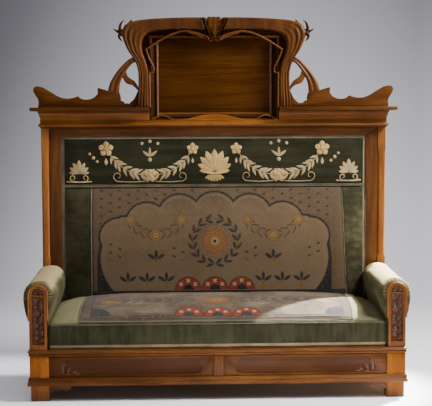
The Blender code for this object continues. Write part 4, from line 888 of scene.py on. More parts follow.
def twisted(name, spots, out, radius, colours):
    """Two threads wound round each other along a line on a cover that faces out."""
    strands = []
    for half, colour in enumerate(colours):
        winding = []
        for number, spot in enumerate(spots):
            ahead = spots[min(number + 1, len(spots) - 1)] - spots[max(number - 1, 0)]
            across = ahead.normalized().cross(out)
            angle = 2 * math.pi * (number / BRAID_TURN_STEPS + half / 2)
            lift = 0.9 + math.sin(angle)
            winding.append(spot + radius * (out * lift + across * math.cos(angle)))
        strands.append(dress(thread(name, winding, radius, sides=0), colour))
    return joined(name, strands)


def sewn_on(piece):
    """Let a finished piece of trim ride with the bench."""
    hand_over(piece, smooth=70)


def braided(name, corners, cover, way):
    """A two-coloured braid along a line of corners, pressed on a cover and sewn down."""
    spots = cover.line(corners, way, BRAID_STEP)
    sewn_on(twisted(name, spots, -way, BRAID_RADIUS, (dark_yarn, pale_yarn)))


def gimp(name, start, end, width, cover, colour):
    """Flat woven braid, glued over the edge of a cover from one point to another."""
    start, end = Vector(start), Vector(end)
    length = (end - start).length
    along = (end - start) / length
    across = along.cross(INWARD)
    bpy.ops.object.select_all(action="DESELECT")
    bpy.ops.mesh.primitive_grid_add(
        x_subdivisions=round(length / GIMP_STEP), y_subdivisions=8, size=2)
    strip = bpy.context.active_object
    strip.name = name
    for vert in strip.data.vertices:
        run = (vert.co.x + 1) / 2 * length
        side = vert.co.y
        cords = math.exp(-(((abs(side) - 0.84) / 0.14) ** 2))
        plait = abs(math.sin(math.pi * (run / GIMP_PLAIT + side * 0.6)))
        plait *= math.exp(-((side / 0.62) ** 4))
        spot = start + along * run + across * side * width / 2
        spot.y = cover.under(spot, INWARD).y - 0.0006 - 0.0012 * cords - 0.0011 * plait
        vert.co = spot
    sewn_on(dress(walled(strip, GIMP_THICKNESS), colour))


dark_yarn = yarn("dark_yarn", (0.050, 0.040, 0.030), (0.018, 0.016, 0.014))
pale_yarn = yarn("pale_yarn", (0.340, 0.290, 0.200), (0.200, 0.165, 0.110))
gimp_yarn = yarn("gimp_yarn", (0.200, 0.160, 0.095), (0.085, 0.066, 0.036))
rail_gimp_yarn = yarn("rail_gimp_yarn", (0.235, 0.165, 0.082), (0.120, 0.080, 0.036))
seat_cover = Cover(seat)
OVER_SEAT_Z = 0.46
for side, way in HANDS.items():
    route = [(way * seat_seam_x(way, depth), depth, OVER_SEAT_Z)
             for depth in (0.225, SEAM_BEND_Y, SEAT_SEAM_Y)]
    braided("seat_braid_" + side, route, seat_cover, DOWNWARD)
route = [(across, SEAT_SEAM_Y, OVER_SEAT_Z)
         for across in (-PANEL_SEAM_X, seat_seam_x(1, SEAT_SEAM_Y))]
braided("seat_braid_front", route, seat_cover, DOWNWARD)
INNER_CORD_GAP = 0.017
INNER_CORD_END_Y = 0.215
inner_x = PANEL_SEAM_X - INNER_CORD_GAP
inner_y = SEAT_SEAM_Y + INNER_CORD_GAP
inner_front_x = seat_seam_x(1, inner_y) - INNER_CORD_GAP
route = [(across, depth, OVER_SEAT_Z) for across, depth in (
    (-inner_x, INNER_CORD_END_Y), (-inner_x, inner_y), (inner_front_x, inner_y),
    (inner_x, SEAM_BEND_Y), (inner_x, INNER_CORD_END_Y))]
inner_line = seat_cover.line(route, DOWNWARD, CORD_STEP)
sewn_on(dress(thread("seat_inner_cord", inner_line, 0.0015, sides=0), dark_yarn))
slanting = Vector((0, 0.7071, -0.7071))
route = [(across, -0.318, SEAT_EDGE_Z + 0.004) for across in (-0.912, 0.912)]
spots = seat_cover.line(route, slanting, BRAID_STEP * 1.5)
sewn_on(twisted("seat_edge_cord", spots, -slanting, 0.0018, (gimp_yarn, dark_yarn)))
gimp("seat_gimp", (-0.921, -0.316, 0.2948), (0.921, -0.316, 0.2948), 0.0260,
     seat_cover, rail_gimp_yarn)

# The back: a flat pad of horsehair behind a tapestry panel with velvet ends. It is nailed in the
# walnut frame, sewn along two braids, and goes down behind the seat.
BACK_SEAM_LEFT_X = -0.735
BACK_SEAM_RIGHT_X = 0.763
BACK_SEAM_LEAN = 0.029
BACK_SEAM_TOP_Z = 1.106
BACK_SEAM_FALL = 0.647


def back_seam_x(side, up):
    """Where a back braid hangs: the right one leans a little outwards towards the seat."""
    if side < 0:
        return BACK_SEAM_LEFT_X
    fallen = max(0.0, min(1.0, (BACK_SEAM_TOP_Z - up) / BACK_SEAM_FALL))
    return BACK_SEAM_RIGHT_X + BACK_SEAM_LEAN * fallen


def back_seam(spot, normal):
    """The two seams under the back's braids."""
    return abs(spot.x - back_seam_x(spot.x, spot.z)) if normal.y < -0.3 else FAR


back = stuff(
    "back_pad", "back_cushion", 0.0115, 0.0030, 0.007,
    lambda spot: spot.y > 0.285 or spot.z > 1.115 or abs(spot.x) > 0.90 or spot.z < 0.36)
ruffle(back, 0.0020, (5, 2, 4))
sew(back, (back_seam,), 0.0040, 0.007)

FIELD_OVAL = ((0.0, 0.700), (0.685, 0.430))
FIELD_SHOULDER_Z = 0.950
FIELD_SCALLOPS = (
    ((0.0, 0.958), 0.134), ((0.210, 0.948), 0.130),
    ((0.405, 0.905), 0.126), ((0.573, 0.828), 0.112))
BACK_FOOT_Z = 0.508
WREATH_MIDDLE = (0.0, 0.800)
WREATH_RADIUS = 0.134
SWAG_MIDDLE = (0.350, 1.025)
SWAG_RADIUS = 0.185


def back_tapestry():
    """Own design for the back: a scalloped field, a wreathed rosette, swags and a row of fans."""
    material, feed, place = new_material(
        "back_tapestry", Sheen_Weight=0.05, Sheen_Roughness=0.5, Specular_IOR_Level=0.10)
    x, _y, z = place.parts()
    drawing = Cloth2D(x.size(), z)
    mottle = place.speckle(7.0, 5.0, 0.65)
    wash = place.stretched((1.0, 1.0, 0.35)).speckle(4.0, 3.0)
    inner = (mottle * 0.5 + wash * 0.5).over(0.34, 0.66).between(TAUPE_MID, (0.128, 0.0860, 0.0440))
    # Painted light and shade: the field is paler towards the right as painted light, darker near
    # its top as painted shade under the frieze, and paler towards the bottom.
    inner = (x.over(-0.2, 0.8) * 0.32).between(inner, (0.165, 0.1130, 0.0620))
    inner = (z.over(0.74, 0.54) * 0.62).between(inner, TAUPE_PALE)
    inner = (z.over(0.92, 1.09) * 0.60).between(inner, TAUPE_DARK)
    outside = drawing.oval(*FIELD_OVAL).most(drawing.up - FIELD_SHOULDER_Z)
    for centre, radius in FIELD_SCALLOPS:
        outside = outside.least(drawing.reach(centre) - radius)
    drawing.colour = outside.over(-0.003, 0.003).between(inner, (0.078, 0.0500, 0.0270))
    halo = (outside + 0.014).size().over(0.012, 0.002)
    drawing.paint(halo * 0.30, TAUPE_PALE)
    line = (outside - 0.003).size().over(0.0075, 0.0040)
    drawing.paint(line * 0.97, NAVY)
    spandrel = outside.over(-0.002, 0.002) * drawing.up.over(0.720, 0.690)
    spandrel = spandrel * drawing.across.over(0.7035, 0.6995)
    drawing.paint(spandrel, NAVY)
    seeds = drawing.seeds((0.054, 0.049), (0.0100, 0.0054))
    edge_seeds = outside.over(0.015, 0.020) * drawing.across.over(0.722, 0.718)
    here = together([
        drawing.spot((0.590, 0.745), 0.062, 0.010), drawing.spot((0.215, 0.735), 0.052, 0.010),
        edge_seeds])
    drawing.paint(seeds * here * 0.9, INK)
    wreath = drawing.laurel(WREATH_MIDDLE, WREATH_RADIUS, range(-78, 77, 22), 0.052, 0.0175)
    drawing.paint(wreath * 0.85, NAVY)
    for radius, width, strength in ((WREATH_RADIUS, 0.0014, 0.7), (0.098, 0.0012, 0.5)):
        line = drawing.ring(WREATH_MIDDLE, radius, width)
        drawing.paint(line * strength, INK)
    rosette(drawing, WREATH_MIDDLE, 10, 0.078, ROSETTE_ORANGE)
    for angles in ((-142, -128, -114, -100), (-38, -52, -66, -80)):
        leaves = drawing.laurel(SWAG_MIDDLE, SWAG_RADIUS, angles, 0.054, 0.0190)
        rim = leaves - drawing.laurel(SWAG_MIDDLE, SWAG_RADIUS, angles, 0.0475, 0.0135)
        drawing.paint(leaves * 0.25, (0.060, 0.0480, 0.0250))
        drawing.paint(rim.most(0.0) * 0.7, INK)
    for centre, petals, size in (
            ((0.198, 0.928), 6, 0.034), ((0.502, 0.928), 6, 0.034), ((0.350, 0.838), 8, 0.040)):
        rosette(drawing, centre, petals, size, OCHRE)
    for foot in ((0.350, 0.690), (0.290, 0.556), (0.405, 0.556), (0.520, 0.556)):
        for turn in (35, 90, 145):
            lean = math.radians(turn)
            here = (foot[0] + 0.034 * math.cos(lean), foot[1] + 0.034 * math.sin(lean))
            drawing.paint(drawing.almond(here, 0.056, 0.021, turn) * 0.9, NAVY)
        low, high = drawing.up - (foot[1] - 0.034), drawing.up - foot[1]
        stalk = (drawing.across - foot[0]).size().over(0.0022, 0.0010)
        stalk = stalk * low.over(0.0, 0.004) * high.over(0.004, 0.0)
        drawing.paint(stalk * 0.8, INK)
        berry = drawing.spot((foot[0], foot[1] - 0.030), 0.0120)
        drawing.paint(berry, (0.165, 0.0880, 0.0180))
    fan_row(drawing, BACK_FOOT_Z, FAN_SIZE, FAN_ROW_HALF, NAVY)
    lowest = drawing.up.over(BACK_FOOT_Z - 0.003, BACK_FOOT_Z - 0.005)
    drawing.paint(lowest, NAVY)
    woven(drawing.colour, place, feed, 2)
    return material


def back_right_painted_light(x, y, z):
    """The right end is painted paler than the left, as painted light from the right."""
    return x.over(0.3, 1.2) * 0.55


back_velvet = velvet("back_velvet", (0.6, 1.0, 1.0), back_right_painted_light, None)
hand_over(back, back_velvet, smooth=60)
back.data.materials.append(back_tapestry())
BACK_PANEL_REAR_Y = 0.30
for face in back.data.polygons:
    across, depth, up = face.center
    inside = abs(across) < abs(back_seam_x(across, up))
    face.material_index = int(inside and depth < BACK_PANEL_REAR_Y)

# The frieze: a narrow pad of horsehair above the back panel, covered in dark olive velvet. It is
# nailed in the same frame, and carries the sewn ornament.
frieze = stuff(
    "frieze_pad", "frieze_cushion", 0.0090, 0.0025, 0.005,
    lambda spot: spot.y > 0.295 or abs(spot.x) > 0.90 or not 1.137 < spot.z < 1.418)
# The velvet is painted paler towards the right end, as painted light from the right.
frieze_velvet = velvet(
    "frieze_velvet", (0.05, 1.0, 1.0), lambda x, y, z: x.over(0.2, 1.4) * 0.45, None, tone=0.55)
hand_over(frieze, frieze_velvet, smooth=60)

# The trim of the back: twisted braids over the seams, and woven gimp round the frame's inner
# edge and along the joint under the frieze.
wall_cover = Cover(back, frieze)
FRAME_GIMP_X = 0.9020
FRAME_GIMP_Z = (0.4500, 1.4260)
CROSS_GIMP_X = 0.8930
for side, way in HANDS.items():
    route = [(back_seam_x(way, up), 0.25, up) for up in (1.119, 0.455)]
    braided("back_braid_" + side, route, wall_cover, INWARD)
    foot, head = ((way * FRAME_GIMP_X, 0.285, up) for up in FRAME_GIMP_Z)
    gimp("frame_gimp_" + side, foot, head, 0.0165, wall_cover, gimp_yarn)
for name, depth, up, width in (
        ("frame_gimp_top", 0.285, 1.4185, 0.0165), ("frieze_gimp", 0.275, 1.1310, 0.0160)):
    gimp(name, (-CROSS_GIMP_X, depth, up), (CROSS_GIMP_X, depth, up), width,
         wall_cover, gimp_yarn)

# The ornament on the frieze: cream and gold velvet cut to shape, padded and sewn down with silk.
# It is a plain design of laurel sprays, rosettes and a palmette between spiral threads.
CURVE_STEPS = 8


def curved(corners):
    """A smooth line through a few places."""
    spots = [Vector(corner) for corner in corners]
    spots = [2 * spots[0] - spots[1], *spots, 2 * spots[-1] - spots[-2]]
    line = []
    for before, first, last, after in zip(spots, spots[1:], spots[2:], spots[3:]):
        for number in range(CURVE_STEPS):
            t = number / CURVE_STEPS
            line.append(0.5 * (
                2 * first + (last - before) * t
                + (2 * before - 5 * first + 4 * last - after) * t * t
                + (3 * first - before - 3 * last + after) * t * t * t))
    return line + [spots[-2]]


def pressed(piece, cover):
    """Lay a flat ornament on a cover, with its own relief kept."""
    for vert in piece.data.vertices:
        relief = vert.co.y
        vert.co.y = cover.under(Vector((vert.co.x, 0.27, vert.co.z)), INWARD).y + relief
    return piece


def needlework(name, light, dark):
    """Cut velvet held down by silk stitches that run across each shape."""
    material, feed, place = new_material(name, Sheen_Weight=0.2, Specular_IOR_Level=0.2)
    stitches = place.stretched((1.0, 1.0, 0.35)).speckle(900.0, 3.0, 0.6)
    tone_mask = place.speckle(16.0, 4.0, 0.6)
    feed("Base Color", (stitches * 0.5 + tone_mask * 0.5).over(0.32, 0.62).between(dark, light))
    feed("Roughness", 0.7 + stitches * 0.2)
    feed("Height", (0.5, 0.0008, stitches))
    return material


cream_silk = needlework("cream_needlework", (0.440, 0.320, 0.150), (0.225, 0.160, 0.070))
gold_silk = needlework("gold_needlework", (0.520, 0.350, 0.120), (0.270, 0.165, 0.050))
frieze_cover = Cover(frieze)
swag = curved((
    (0.136, 0, 1.346), (0.185, 0, 1.272), (0.275, 0, 1.214), (0.385, 0, 1.194), (0.495, 0, 1.214),
    (0.585, 0, 1.272), (0.636, 0, 1.346)))
laurel = []
SWAG_PAIRS = 8
for number in range(SWAG_PAIRS):
    for hand in (1, -1):
        share = 0.09 + 0.375 * number / (SWAG_PAIRS - 1)
        spot = round((share if hand > 0 else 1 - share) * (len(swag) - 1))
        here = swag[spot]
        ahead = swag[spot + 2 * hand] - here
        heading = math.degrees(math.atan2(ahead.z, ahead.x))
        scale = 0.66 + 0.038 * number
        laurel += [(here.x, here.z, heading + lean, scale) for lean in (36, -36)]
laurel += [(0.385, 1.306, 90 + turn, 0.78) for turn in (-52, 0, 52)]
leaves = set_out(leaf("laurel_leaf", 0.074, 0.0215, 0.0022, 0.42), "laurel", both_sides(laurel))
bpy.ops.object.select_all(action="DESELECT")
bpy.ops.mesh.primitive_uv_sphere_add(segments=12, ring_count=8, radius=0.0105)
berry = bpy.context.active_object
for vert in berry.data.vertices:
    vert.co.y = vert.co.y * 0.30 - 0.0012
places = [(0.385, 1.288, 0, 1.15), (0.338, 1.384, 0, 0.9), (0.432, 1.384, 0, 0.9),
          (0.385, 1.396, 0, 1.0), (0.720, 1.300, 0, 1.0), (0.742, 1.322, 0, 0.8),
          (0.698, 1.278, 0, 0.8)]
berries = set_out(berry, "berries", both_sides(places))
lobes = [(0.806, 1.204, 90 + turn, 0.80 - 0.0026 * abs(turn))
         for turn in (0, 28, -28, 56, -56, 82, -82)]
anthemion_lobe = leaf("anthemion_lobe", 0.104, 0.033, 0.0024, 0.64, 0.3)
tips = set_out(anthemion_lobe, "anthemion", both_sides(lobes))
SCROLL_FOOT_Z = 1.158
SCROLL_SIZE = 0.032
SCROLL_TAIL = 0.160
SCROLL_TURN = 0.27
SCROLL_TIGHTENING = 0.17
threads = []
for way in (1, -1):
    threads.append(thread("swag_stem", [(way * s.x, -0.0012, s.z) for s in swag], 0.0022))
    for middle, size, hand, radius in (
            (0.194, SCROLL_SIZE, 1, 0.0026), (0.576, SCROLL_SIZE, -1, 0.0026),
            (0.770, 0.022, 1, 0.0040), (0.842, 0.022, -1, 0.0040)):
        scroll = []
        for step in range(6):
            tail = hand * SCROLL_TAIL * (1 - step / 6) * size / SCROLL_SIZE
            sag = 0.004 * math.sin(math.pi * step / 6)
            scroll.append((way * (middle + tail), -0.0010, SCROLL_FOOT_Z - sag))
        for step in range(24):
            turned = SCROLL_TURN * step
            far = size * math.exp(-SCROLL_TIGHTENING * turned)
            scroll.append((way * (middle - hand * far * math.sin(turned)), -0.0010,
                           SCROLL_FOOT_Z + size - far * math.cos(turned)))
        threads.append(thread("scroll", scroll, radius, lambda t: 1.1 - 0.5 * t))
places = [(0.645, 1.300, -90, 1), (0.130, 1.300, -90, 0.8)]
drops = set_out(leaf("drop", 0.044, 0.019, 0.0024, 0.62), "drops", both_sides(places))
cream_work = joined("frieze_cream_applique", [leaves, berries, tips, drops, *threads])
dress(pressed(cream_work, frieze_cover), cream_silk)
sewn_on(cream_work)


def fanned(up, heading, lobes):
    """Places for lobes in the middle of the frieze, each turned both ways from a heading."""
    places = [(0.0, up, heading, lobes[0][1])]
    for turn, scale in lobes[1:]:
        places += [(0.0, up, heading + turn, scale), (0.0, up, heading - turn, scale)]
    return places


fan = fanned(1.214, 90, (
    (0, 1.2200), (22, 1.1956), (44, 1.0980), (66, 0.9760), (86, 0.8052)))
palmette = set_out(leaf("palmette_lobe", 0.112, 0.033, 0.0026, 0.66, 0.3), "palmette", fan)
skirt = fanned(1.196, 270, ((0, 0.9), (26, 0.95), (50, 1.05), (70, 1.25)))
skirting = set_out(leaf("skirt_lobe", 0.050, 0.020, 0.0022, 0.5), "skirt", skirt)
collar = thread("collar", curved([(across, -0.002, up) for across, up in (
    (-0.066, 1.212), (-0.03, 1.206), (0, 1.204), (0.03, 1.206), (0.066, 1.212))]), 0.0062)
petals, eyes = [], []
for across, up, size, eye_size in (
        (0.645, 1.352, 1.0, 1.0), (0.130, 1.352, 0.78, 0.8), (0.385, 1.196, 0.80, 0.80)):
    petals += [(across, up, 90 + 72 * number, size) for number in range(5)]
    eyes += [(across, up, 60 * number, eye_size) for number in range(6)]
rosettes = set_out(leaf("petal", 0.046, 0.034, 0.0030, 0.64, 0.25), "rosettes", both_sides(petals))
eyes = set_out(leaf("eye", 0.0125, 0.012, 0.0052, 0.5, 0.0), "eyes", both_sides(eyes))
for piece in (rosettes, eyes):
    moved_back(piece, -0.0018)
gold_work = joined("frieze_gold_applique", [palmette, skirting, collar, rosettes, eyes])
dress(pressed(gold_work, frieze_cover), gold_silk)
sewn_on(gold_work)

# The arms: fat velvet rolls over the arched fronts, stuffed hard and nailed below. Their tops are
# rubbed, paled by the sun and painted lighter as painted light, nearly white; the pile is painted
# darkest down in the creases of the folds as painted shade, and paler on their ridges as a painted
# highlight.


def arm_bleach_and_light(x, y, z):
    """How far the sun bleaches the tops of the rolls, with painted light on top where the light
    falls.
    """
    return z.over(0.580, 0.662)


def arm_worn(x, y, z):
    """How far the tops are rubbed, which stops short of their outer sides."""
    return z.over(0.50, 0.67) * x.size().over(1.060, 1.030) * 0.7


STUMP_MIDDLE_X = 0.9825
STUMP_SPRING_Z = 0.5851
GATHER_COUNT = 43
GATHER_REACH = 0.084
GATHER_FADE = 0.016
GATHER_FRONT_Y = -0.228
GATHER_RAMP = 0.030
GATHER_FOOT = -0.050
GATHER_DEPTH = 0.0026


def crease(turn, sine):
    """The gathers at an angle round the arch: -1 in a crease, 1 on a fold."""
    return sine(turn * GATHER_COUNT + sine(turn * 5.0) * 1.3 + sine(turn * 11.0) * 0.9)


def arm_gathers(x, y, z):
    """Where the cover is gathered, and how high each place lies in its creases."""
    side = x.size() - STUMP_MIDDLE_X
    rise = z - STUMP_SPRING_Z
    reach = (side.power(2.0) + rise.power(2.0)).power(0.5)
    here = reach.over(GATHER_REACH, GATHER_REACH - 0.014) * y.over(
        GATHER_FRONT_Y, GATHER_FRONT_Y - GATHER_RAMP) * rise.over(GATHER_FOOT, -0.015)
    return here, crease(rise.angle_to(side), Wire.sine) * 0.5 + 0.5


def gather(arm, way):
    """Draw the front of a cover into creases round the arch, on a finer mesh there."""
    def place_of(spot):
        side, rise = spot.x * way - STUMP_MIDDLE_X, spot.z - STUMP_SPRING_Z
        return math.hypot(side, rise), rise, math.atan2(rise, side)

    take_up(arm)
    bpy.ops.object.mode_set(mode="EDIT")
    bpy.ops.mesh.select_mode(type="FACE")
    bpy.ops.mesh.select_all(action="DESELECT")
    bpy.ops.object.mode_set(mode="OBJECT")
    for face in arm.data.polygons:
        reach, rise, _turn = place_of(face.center)
        in_reach = reach < GATHER_REACH + 0.008 and rise > GATHER_FOOT - 0.005
        face.select = in_reach and face.center.y < GATHER_FRONT_Y + 0.008
    bpy.ops.object.mode_set(mode="EDIT")
    bpy.ops.mesh.subdivide(number_cuts=2)
    bpy.ops.object.mode_set(mode="OBJECT")
    normals = [vert.normal.copy() for vert in arm.data.vertices]
    for vert, normal in zip(arm.data.vertices, normals):
        reach, rise, turn = place_of(vert.co)
        if reach < GATHER_REACH and rise > GATHER_FOOT and vert.co.y < GATHER_FRONT_Y:
            share = min(1, (GATHER_REACH - reach) / GATHER_FADE)
            share *= min(1, (GATHER_FRONT_Y - vert.co.y) / GATHER_RAMP)
            share *= min(1, (rise - GATHER_FOOT) / 0.03)
            vert.co += normal * GATHER_DEPTH * share * crease(turn, math.sin)


ARM_CREAM = (0.450, 0.350, 0.170)
arm_velvet = velvet(
    "arm_velvet", (1.0, 0.25, 1.0), arm_worn, arm_bleach_and_light, ARM_CREAM, folds=arm_gathers)
for side, way in HANDS.items():
    arm = stuff(
        "arm_pad_" + side, "arm_roll_" + side, 0.0080, -0.0030, 0.009,
        lambda spot: spot.z < 0.30 or spot.y > 0.272, rounds=14)
    ruffle(arm, 0.0018, (26, 6, 16))
    gather(arm, way)
    hand_over(arm, arm_velvet, smooth=60)

# The frame round the back: wide flat boards of walnut, mitred at the top corners, with a
# stop-chamfer down each inner edge.
for side in HANDS:
    eased("back_frame_" + side, 0.0014, walnut(2, 0.32, 0.06, 0.7))
eased("back_frame_top", 0.0014, walnut(0, 0.44, 0.08, 0.4))

# The arched arm fronts: walnut boards with a sunken field and a half-round one above it, banded
# round the head by a bent moulding. The leaves and shell are carved in the fields' floors.
STUMP_FIELD_Y = -0.3098
STUMP_FIELD = (-0.316, 0.006, 0.9)
STUMP_FIELD_HALF = 0.0305
ARCH_BAND_REACH = 0.0510
ARCH_BAND_Y = -0.3120
ARCH_BAND_UPRIGHT = (0.4440, 0.50, 0.55)
ARCH_BAND_STEPS = 24
STEM_FOOT_Z = 0.3250
STEM_RISE = 0.0345
STEM_TWIGS = 7
for side, way in HANDS.items():
    # Painted shade: the right arm front is given a darker walnut than the left, to hold back the
    # stronger light on that side.
    eased("arm_stump_" + side, 0.0012, walnut(2, 0.62 if way < 0 else 0.50, 0, 1.0, STUMP_FIELD))
    middle = way * STUMP_MIDDLE_X
    outline = [(-ARCH_BAND_REACH, up) for up in ARCH_BAND_UPRIGHT]
    for number in range(ARCH_BAND_STEPS + 1):
        lean = math.pi * (1 - number / ARCH_BAND_STEPS)
        outline.append((
            ARCH_BAND_REACH * math.cos(lean), STUMP_SPRING_Z + ARCH_BAND_REACH * math.sin(lean)))
    outline += [(ARCH_BAND_REACH, up) for up in reversed(ARCH_BAND_UPRIGHT)]
    band_line = [(middle + across, ARCH_BAND_Y, up) for across, up in outline]
    band = thread("arch_band_" + side, band_line, 0.0054, sides=2)
    hand_over(band, walnut(2, 0.80), smooth=50)
    twigs, stem_line = [], []
    for number in range(STEM_TWIGS):
        across = middle + 0.006 * math.sin(number * 1.9)
        up = STEM_FOOT_Z + STEM_RISE * number
        stem_line.append((across, 0, up))
        lean = 40 if number % 2 else 62
        size = 1.0 + 0.16 * math.sin(number * 2.7)
        twigs += [(across, up, 90 - lean, size), (across, up + 0.012, 190 - lean, 1.9 - size * 0.9)]
    twigs.append((middle, 0.5540, 90, 0.55))
    stump_leaf = leaf("stump_leaf", 0.0400, 0.0230, 0.0058, 0.55, 0.7, 0.25)
    foliage = set_out(stump_leaf, "stump_leaves", twigs)
    for vert in foliage.data.vertices:
        off = max(-STUMP_FIELD_HALF, min(STUMP_FIELD_HALF, vert.co.x - middle))
        vert.co.x = middle + off
    stem = thread("stump_stem", curved(stem_line), 0.0030, lambda t: 1.1 - 0.6 * t)
    shell = [(middle, 0.5925, turn, 1) for turn in range(12, 169, 39)]
    lunette = set_out(leaf("lunette_lobe", 0.0290, 0.0145, 0.0060, 0.62, 0.6), "lunette", shell)
    carving = joined("stump_carving_" + side, [foliage, stem, lunette])
    hand_over(
        moved_back(carving, STUMP_FIELD_Y), walnut(2, 0.28, 0.20, 1.6), smooth=60)

# The entablature and the two cornice blocks over the back: walnut run through moulding planes,
# mitred and returned at the ends. The beam has painted shade along its foot, and the blocks a band
# of painted light.
eased("entablature", 0.0010, walnut(0, 0.66, 0.04, 0.4, light_and_shade_band=(1.465, 1.486, 0.30)))
for side in HANDS:
    eased("cornice_" + side, 0.0010, walnut(0, 0.26, 0, 0.5, light_and_shade_band=(1.523, 1.563, 2.6)))

# The niche between the arches: four splayed walnut boards and a figured panel, housed in each
# other. Turned beads run up its sides, and a plinth and a half-round lie along its foot.
for side in HANDS:
    eased("niche_side_" + side, 0.0008, walnut(2, 0.13, 0, 0.5))
eased("niche_top", 0.0008, walnut(0, 0.20, 0, 0.5))
eased("niche_shelf", 0.0008, walnut(0, 0.35, 0, 0.4))
eased("niche_back", 0.0008, walnut(0, 0.20, 0, 0.15))
eased("gallery_rail", 0.0014, walnut(0, 0.66, 0, 0.5))

BEAD_COUNT = 34
BEAD_SPOTS = BEAD_COUNT * 8
NICHE_BEAD_X = 0.3380
NICHE_BEAD_FOOT_Z = 1.536
NICHE_BEAD_RUN = 0.462
NICHE_FOOT_Y = 0.3100
NICHE_FOOT_FLATNESS = 0.45


def bead_swell(t):
    """The thickness of the beaded rod on its way, full in each bead and drawn in between."""
    return 0.72 + 0.28 * abs(math.sin(math.pi * t * BEAD_COUNT))


for side, way in HANDS.items():
    spots = [(way * NICHE_BEAD_X, 0.3060, NICHE_BEAD_FOOT_Z + NICHE_BEAD_RUN * number / BEAD_SPOTS)
             for number in range(BEAD_SPOTS + 1)]
    beads = thread("niche_beads_" + side, spots, 0.0088, bead_swell)
    # Painted highlight: the beads are paler and greyer than the niche boards, for the light along
    # them.
    hand_over(beads, walnut(2, 0.62, 0.30), smooth=60)
# Painted shade: the plinth is nearly black, for the shade behind the gallery rail.
for name, up, radius, tone in (
        ("niche_shadow_plinth", 1.5420, 0.0105, 0.10), ("niche_foot_bead", 1.5590, 0.0070, 0.50)):
    spots = [(-0.350 + 0.100 * number, NICHE_FOOT_Y, up) for number in range(8)]
    strip = thread(name, spots, radius, sides=3)
    for vert in strip.data.vertices:
        vert.co.y = NICHE_FOOT_Y + (vert.co.y - NICHE_FOOT_Y) * NICHE_FOOT_FLATNESS
    hand_over(strip, walnut(0, tone), smooth=60)

# The crest: two arches of carved stems that meet in a clasp, branches and pierced wings. The
# arches are carved from thick boards with gouges, so that no edge on them is hard.
WORKED_ROUNDS = 60
SCORE_DEPTH = 0.006
SCORE_WIDTH = 0.0055
SCORE_REACH = 0.016
SCORE_FACE_Y = 0.262
SCORE_SHADE_REACH = 0.010
SCORE_SHADE_Y = 0.275


def carved(node, grid, rounds, material, worked=None, score=(), darker_at=None):
    """A copy of a carved board: gouged smooth all over, more so where it is worked.

    A V is scored along the places of score, and its faces are painted nearly black as painted shade
    in the groove; so are the faces that the last argument picks out.
    """
    piece = copy_of(node, node + "_carved")
    finish_with(piece, "REMESH", mode="VOXEL", voxel_size=grid)
    finish_with(piece, "SMOOTH", factor=0.5, iterations=rounds)
    if worked:
        flat = piece.vertex_groups.new(name="flat")
        for vert in piece.data.vertices:
            flat.add([vert.index], worked(vert.co), "REPLACE")
        finish_with(
            piece, "SMOOTH", factor=0.5, iterations=WORKED_ROUNDS, vertex_group="flat")
        piece.vertex_groups.clear()
    for vert in piece.data.vertices if score else ():
        near = min((vert.co.xz - spot).length for spot in score)
        if vert.co.y < SCORE_FACE_Y and near < SCORE_REACH:
            vert.co.y += SCORE_DEPTH * math.exp(-((near / SCORE_WIDTH) ** 2))
    hand_over(piece, material)
    # Painted shade: the scored faces are given a nearly black walnut, and the picked-out faces the
    # same.
    if darker_at:
        piece.data.materials.append(walnut(2, 0.10, 0, 0.2))
        for face in piece.data.polygons:
            in_score = face.center.y < SCORE_SHADE_Y and any(
                (face.center.xz - spot).length < SCORE_SHADE_REACH for spot in score)
            face.material_index = int(in_score or darker_at(face.center))


def arch_flatness(spot):
    """Where the gouge left an arch plain: all along its beam and down its inner half."""
    across = abs(spot.x)
    inner_half = 0.414 + 0.25 * max(0.0, spot.z - 1.75)
    return max(0.0, min(1.0, max((0.36 - across) / 0.12, (inner_half - across) / 0.012)))


def arch_tips(spot):
    """The pointed leaves at an arch's outer corner."""
    across = abs(spot.x)
    return across > 0.542 or spot.z > 2.106 and 0.45 < across < 0.52


ARCH_SCORE = (
    (0.074, 0, 2.140), (0.068, 0, 2.110), (0.050, 0, 2.065), (0.038, 0, 2.030), (0.036, 0, 1.99))
for side, way in HANDS.items():
    eased("wing_" + side, 0.0020, walnut(0, 0.29, 0, 0.4))
    score = [Vector((way * spot.x, spot.z)) for spot in curved(ARCH_SCORE)]
    carved("arch_" + side, 0.0032, 3, walnut(2, 0.27, 0, 0.6), arch_flatness, score, arch_tips)
    carved("branch_" + side, 0.0030, 2, walnut(2, 0.36, 0, 0.8))
carved("crest_clasp", 0.0028, 50, walnut(0, 0.26, 0, 0.4))

# The tendrils: thin carved stems that leave the arches, wind under the beam and hang in a loop
# beside the niche. Two of them cross over the clasp, painted nearly black as the painted shade of
# grooves.
TENDRILS = (
    (0.2570, 0.0082, 0.45, (
        (0.030, 1.994), (0.053, 2.017), (0.122, 2.039), (0.177, 2.046),
        (0.238, 2.032), (0.308, 1.999), (0.362, 1.966), (0.405, 1.938))),
    (0.2560, 0.0058, 0.35, (
        (0.150, 2.040), (0.110, 2.028), (0.054, 2.0045), (0.026, 1.990), (0.004, 1.997))),
    (0.2405, 0.0056, 0.45, (
        (0.062, 2.126), (0.052, 2.092), (0.036, 2.050), (0.025, 2.020),
        (0.024, 2.002), (0.036, 1.990), (0.054, 1.993))),
    (0.2590, 0.0060, 0.40, (
        (0.4040, 1.946), (0.3860, 1.892), (0.3640, 1.849), (0.3560, 1.823),
        (0.3600, 1.806), (0.3770, 1.800), (0.3860, 1.809))))
OVER_CLASP_Y = 0.25
NICHE_STEM_X = 0.3815
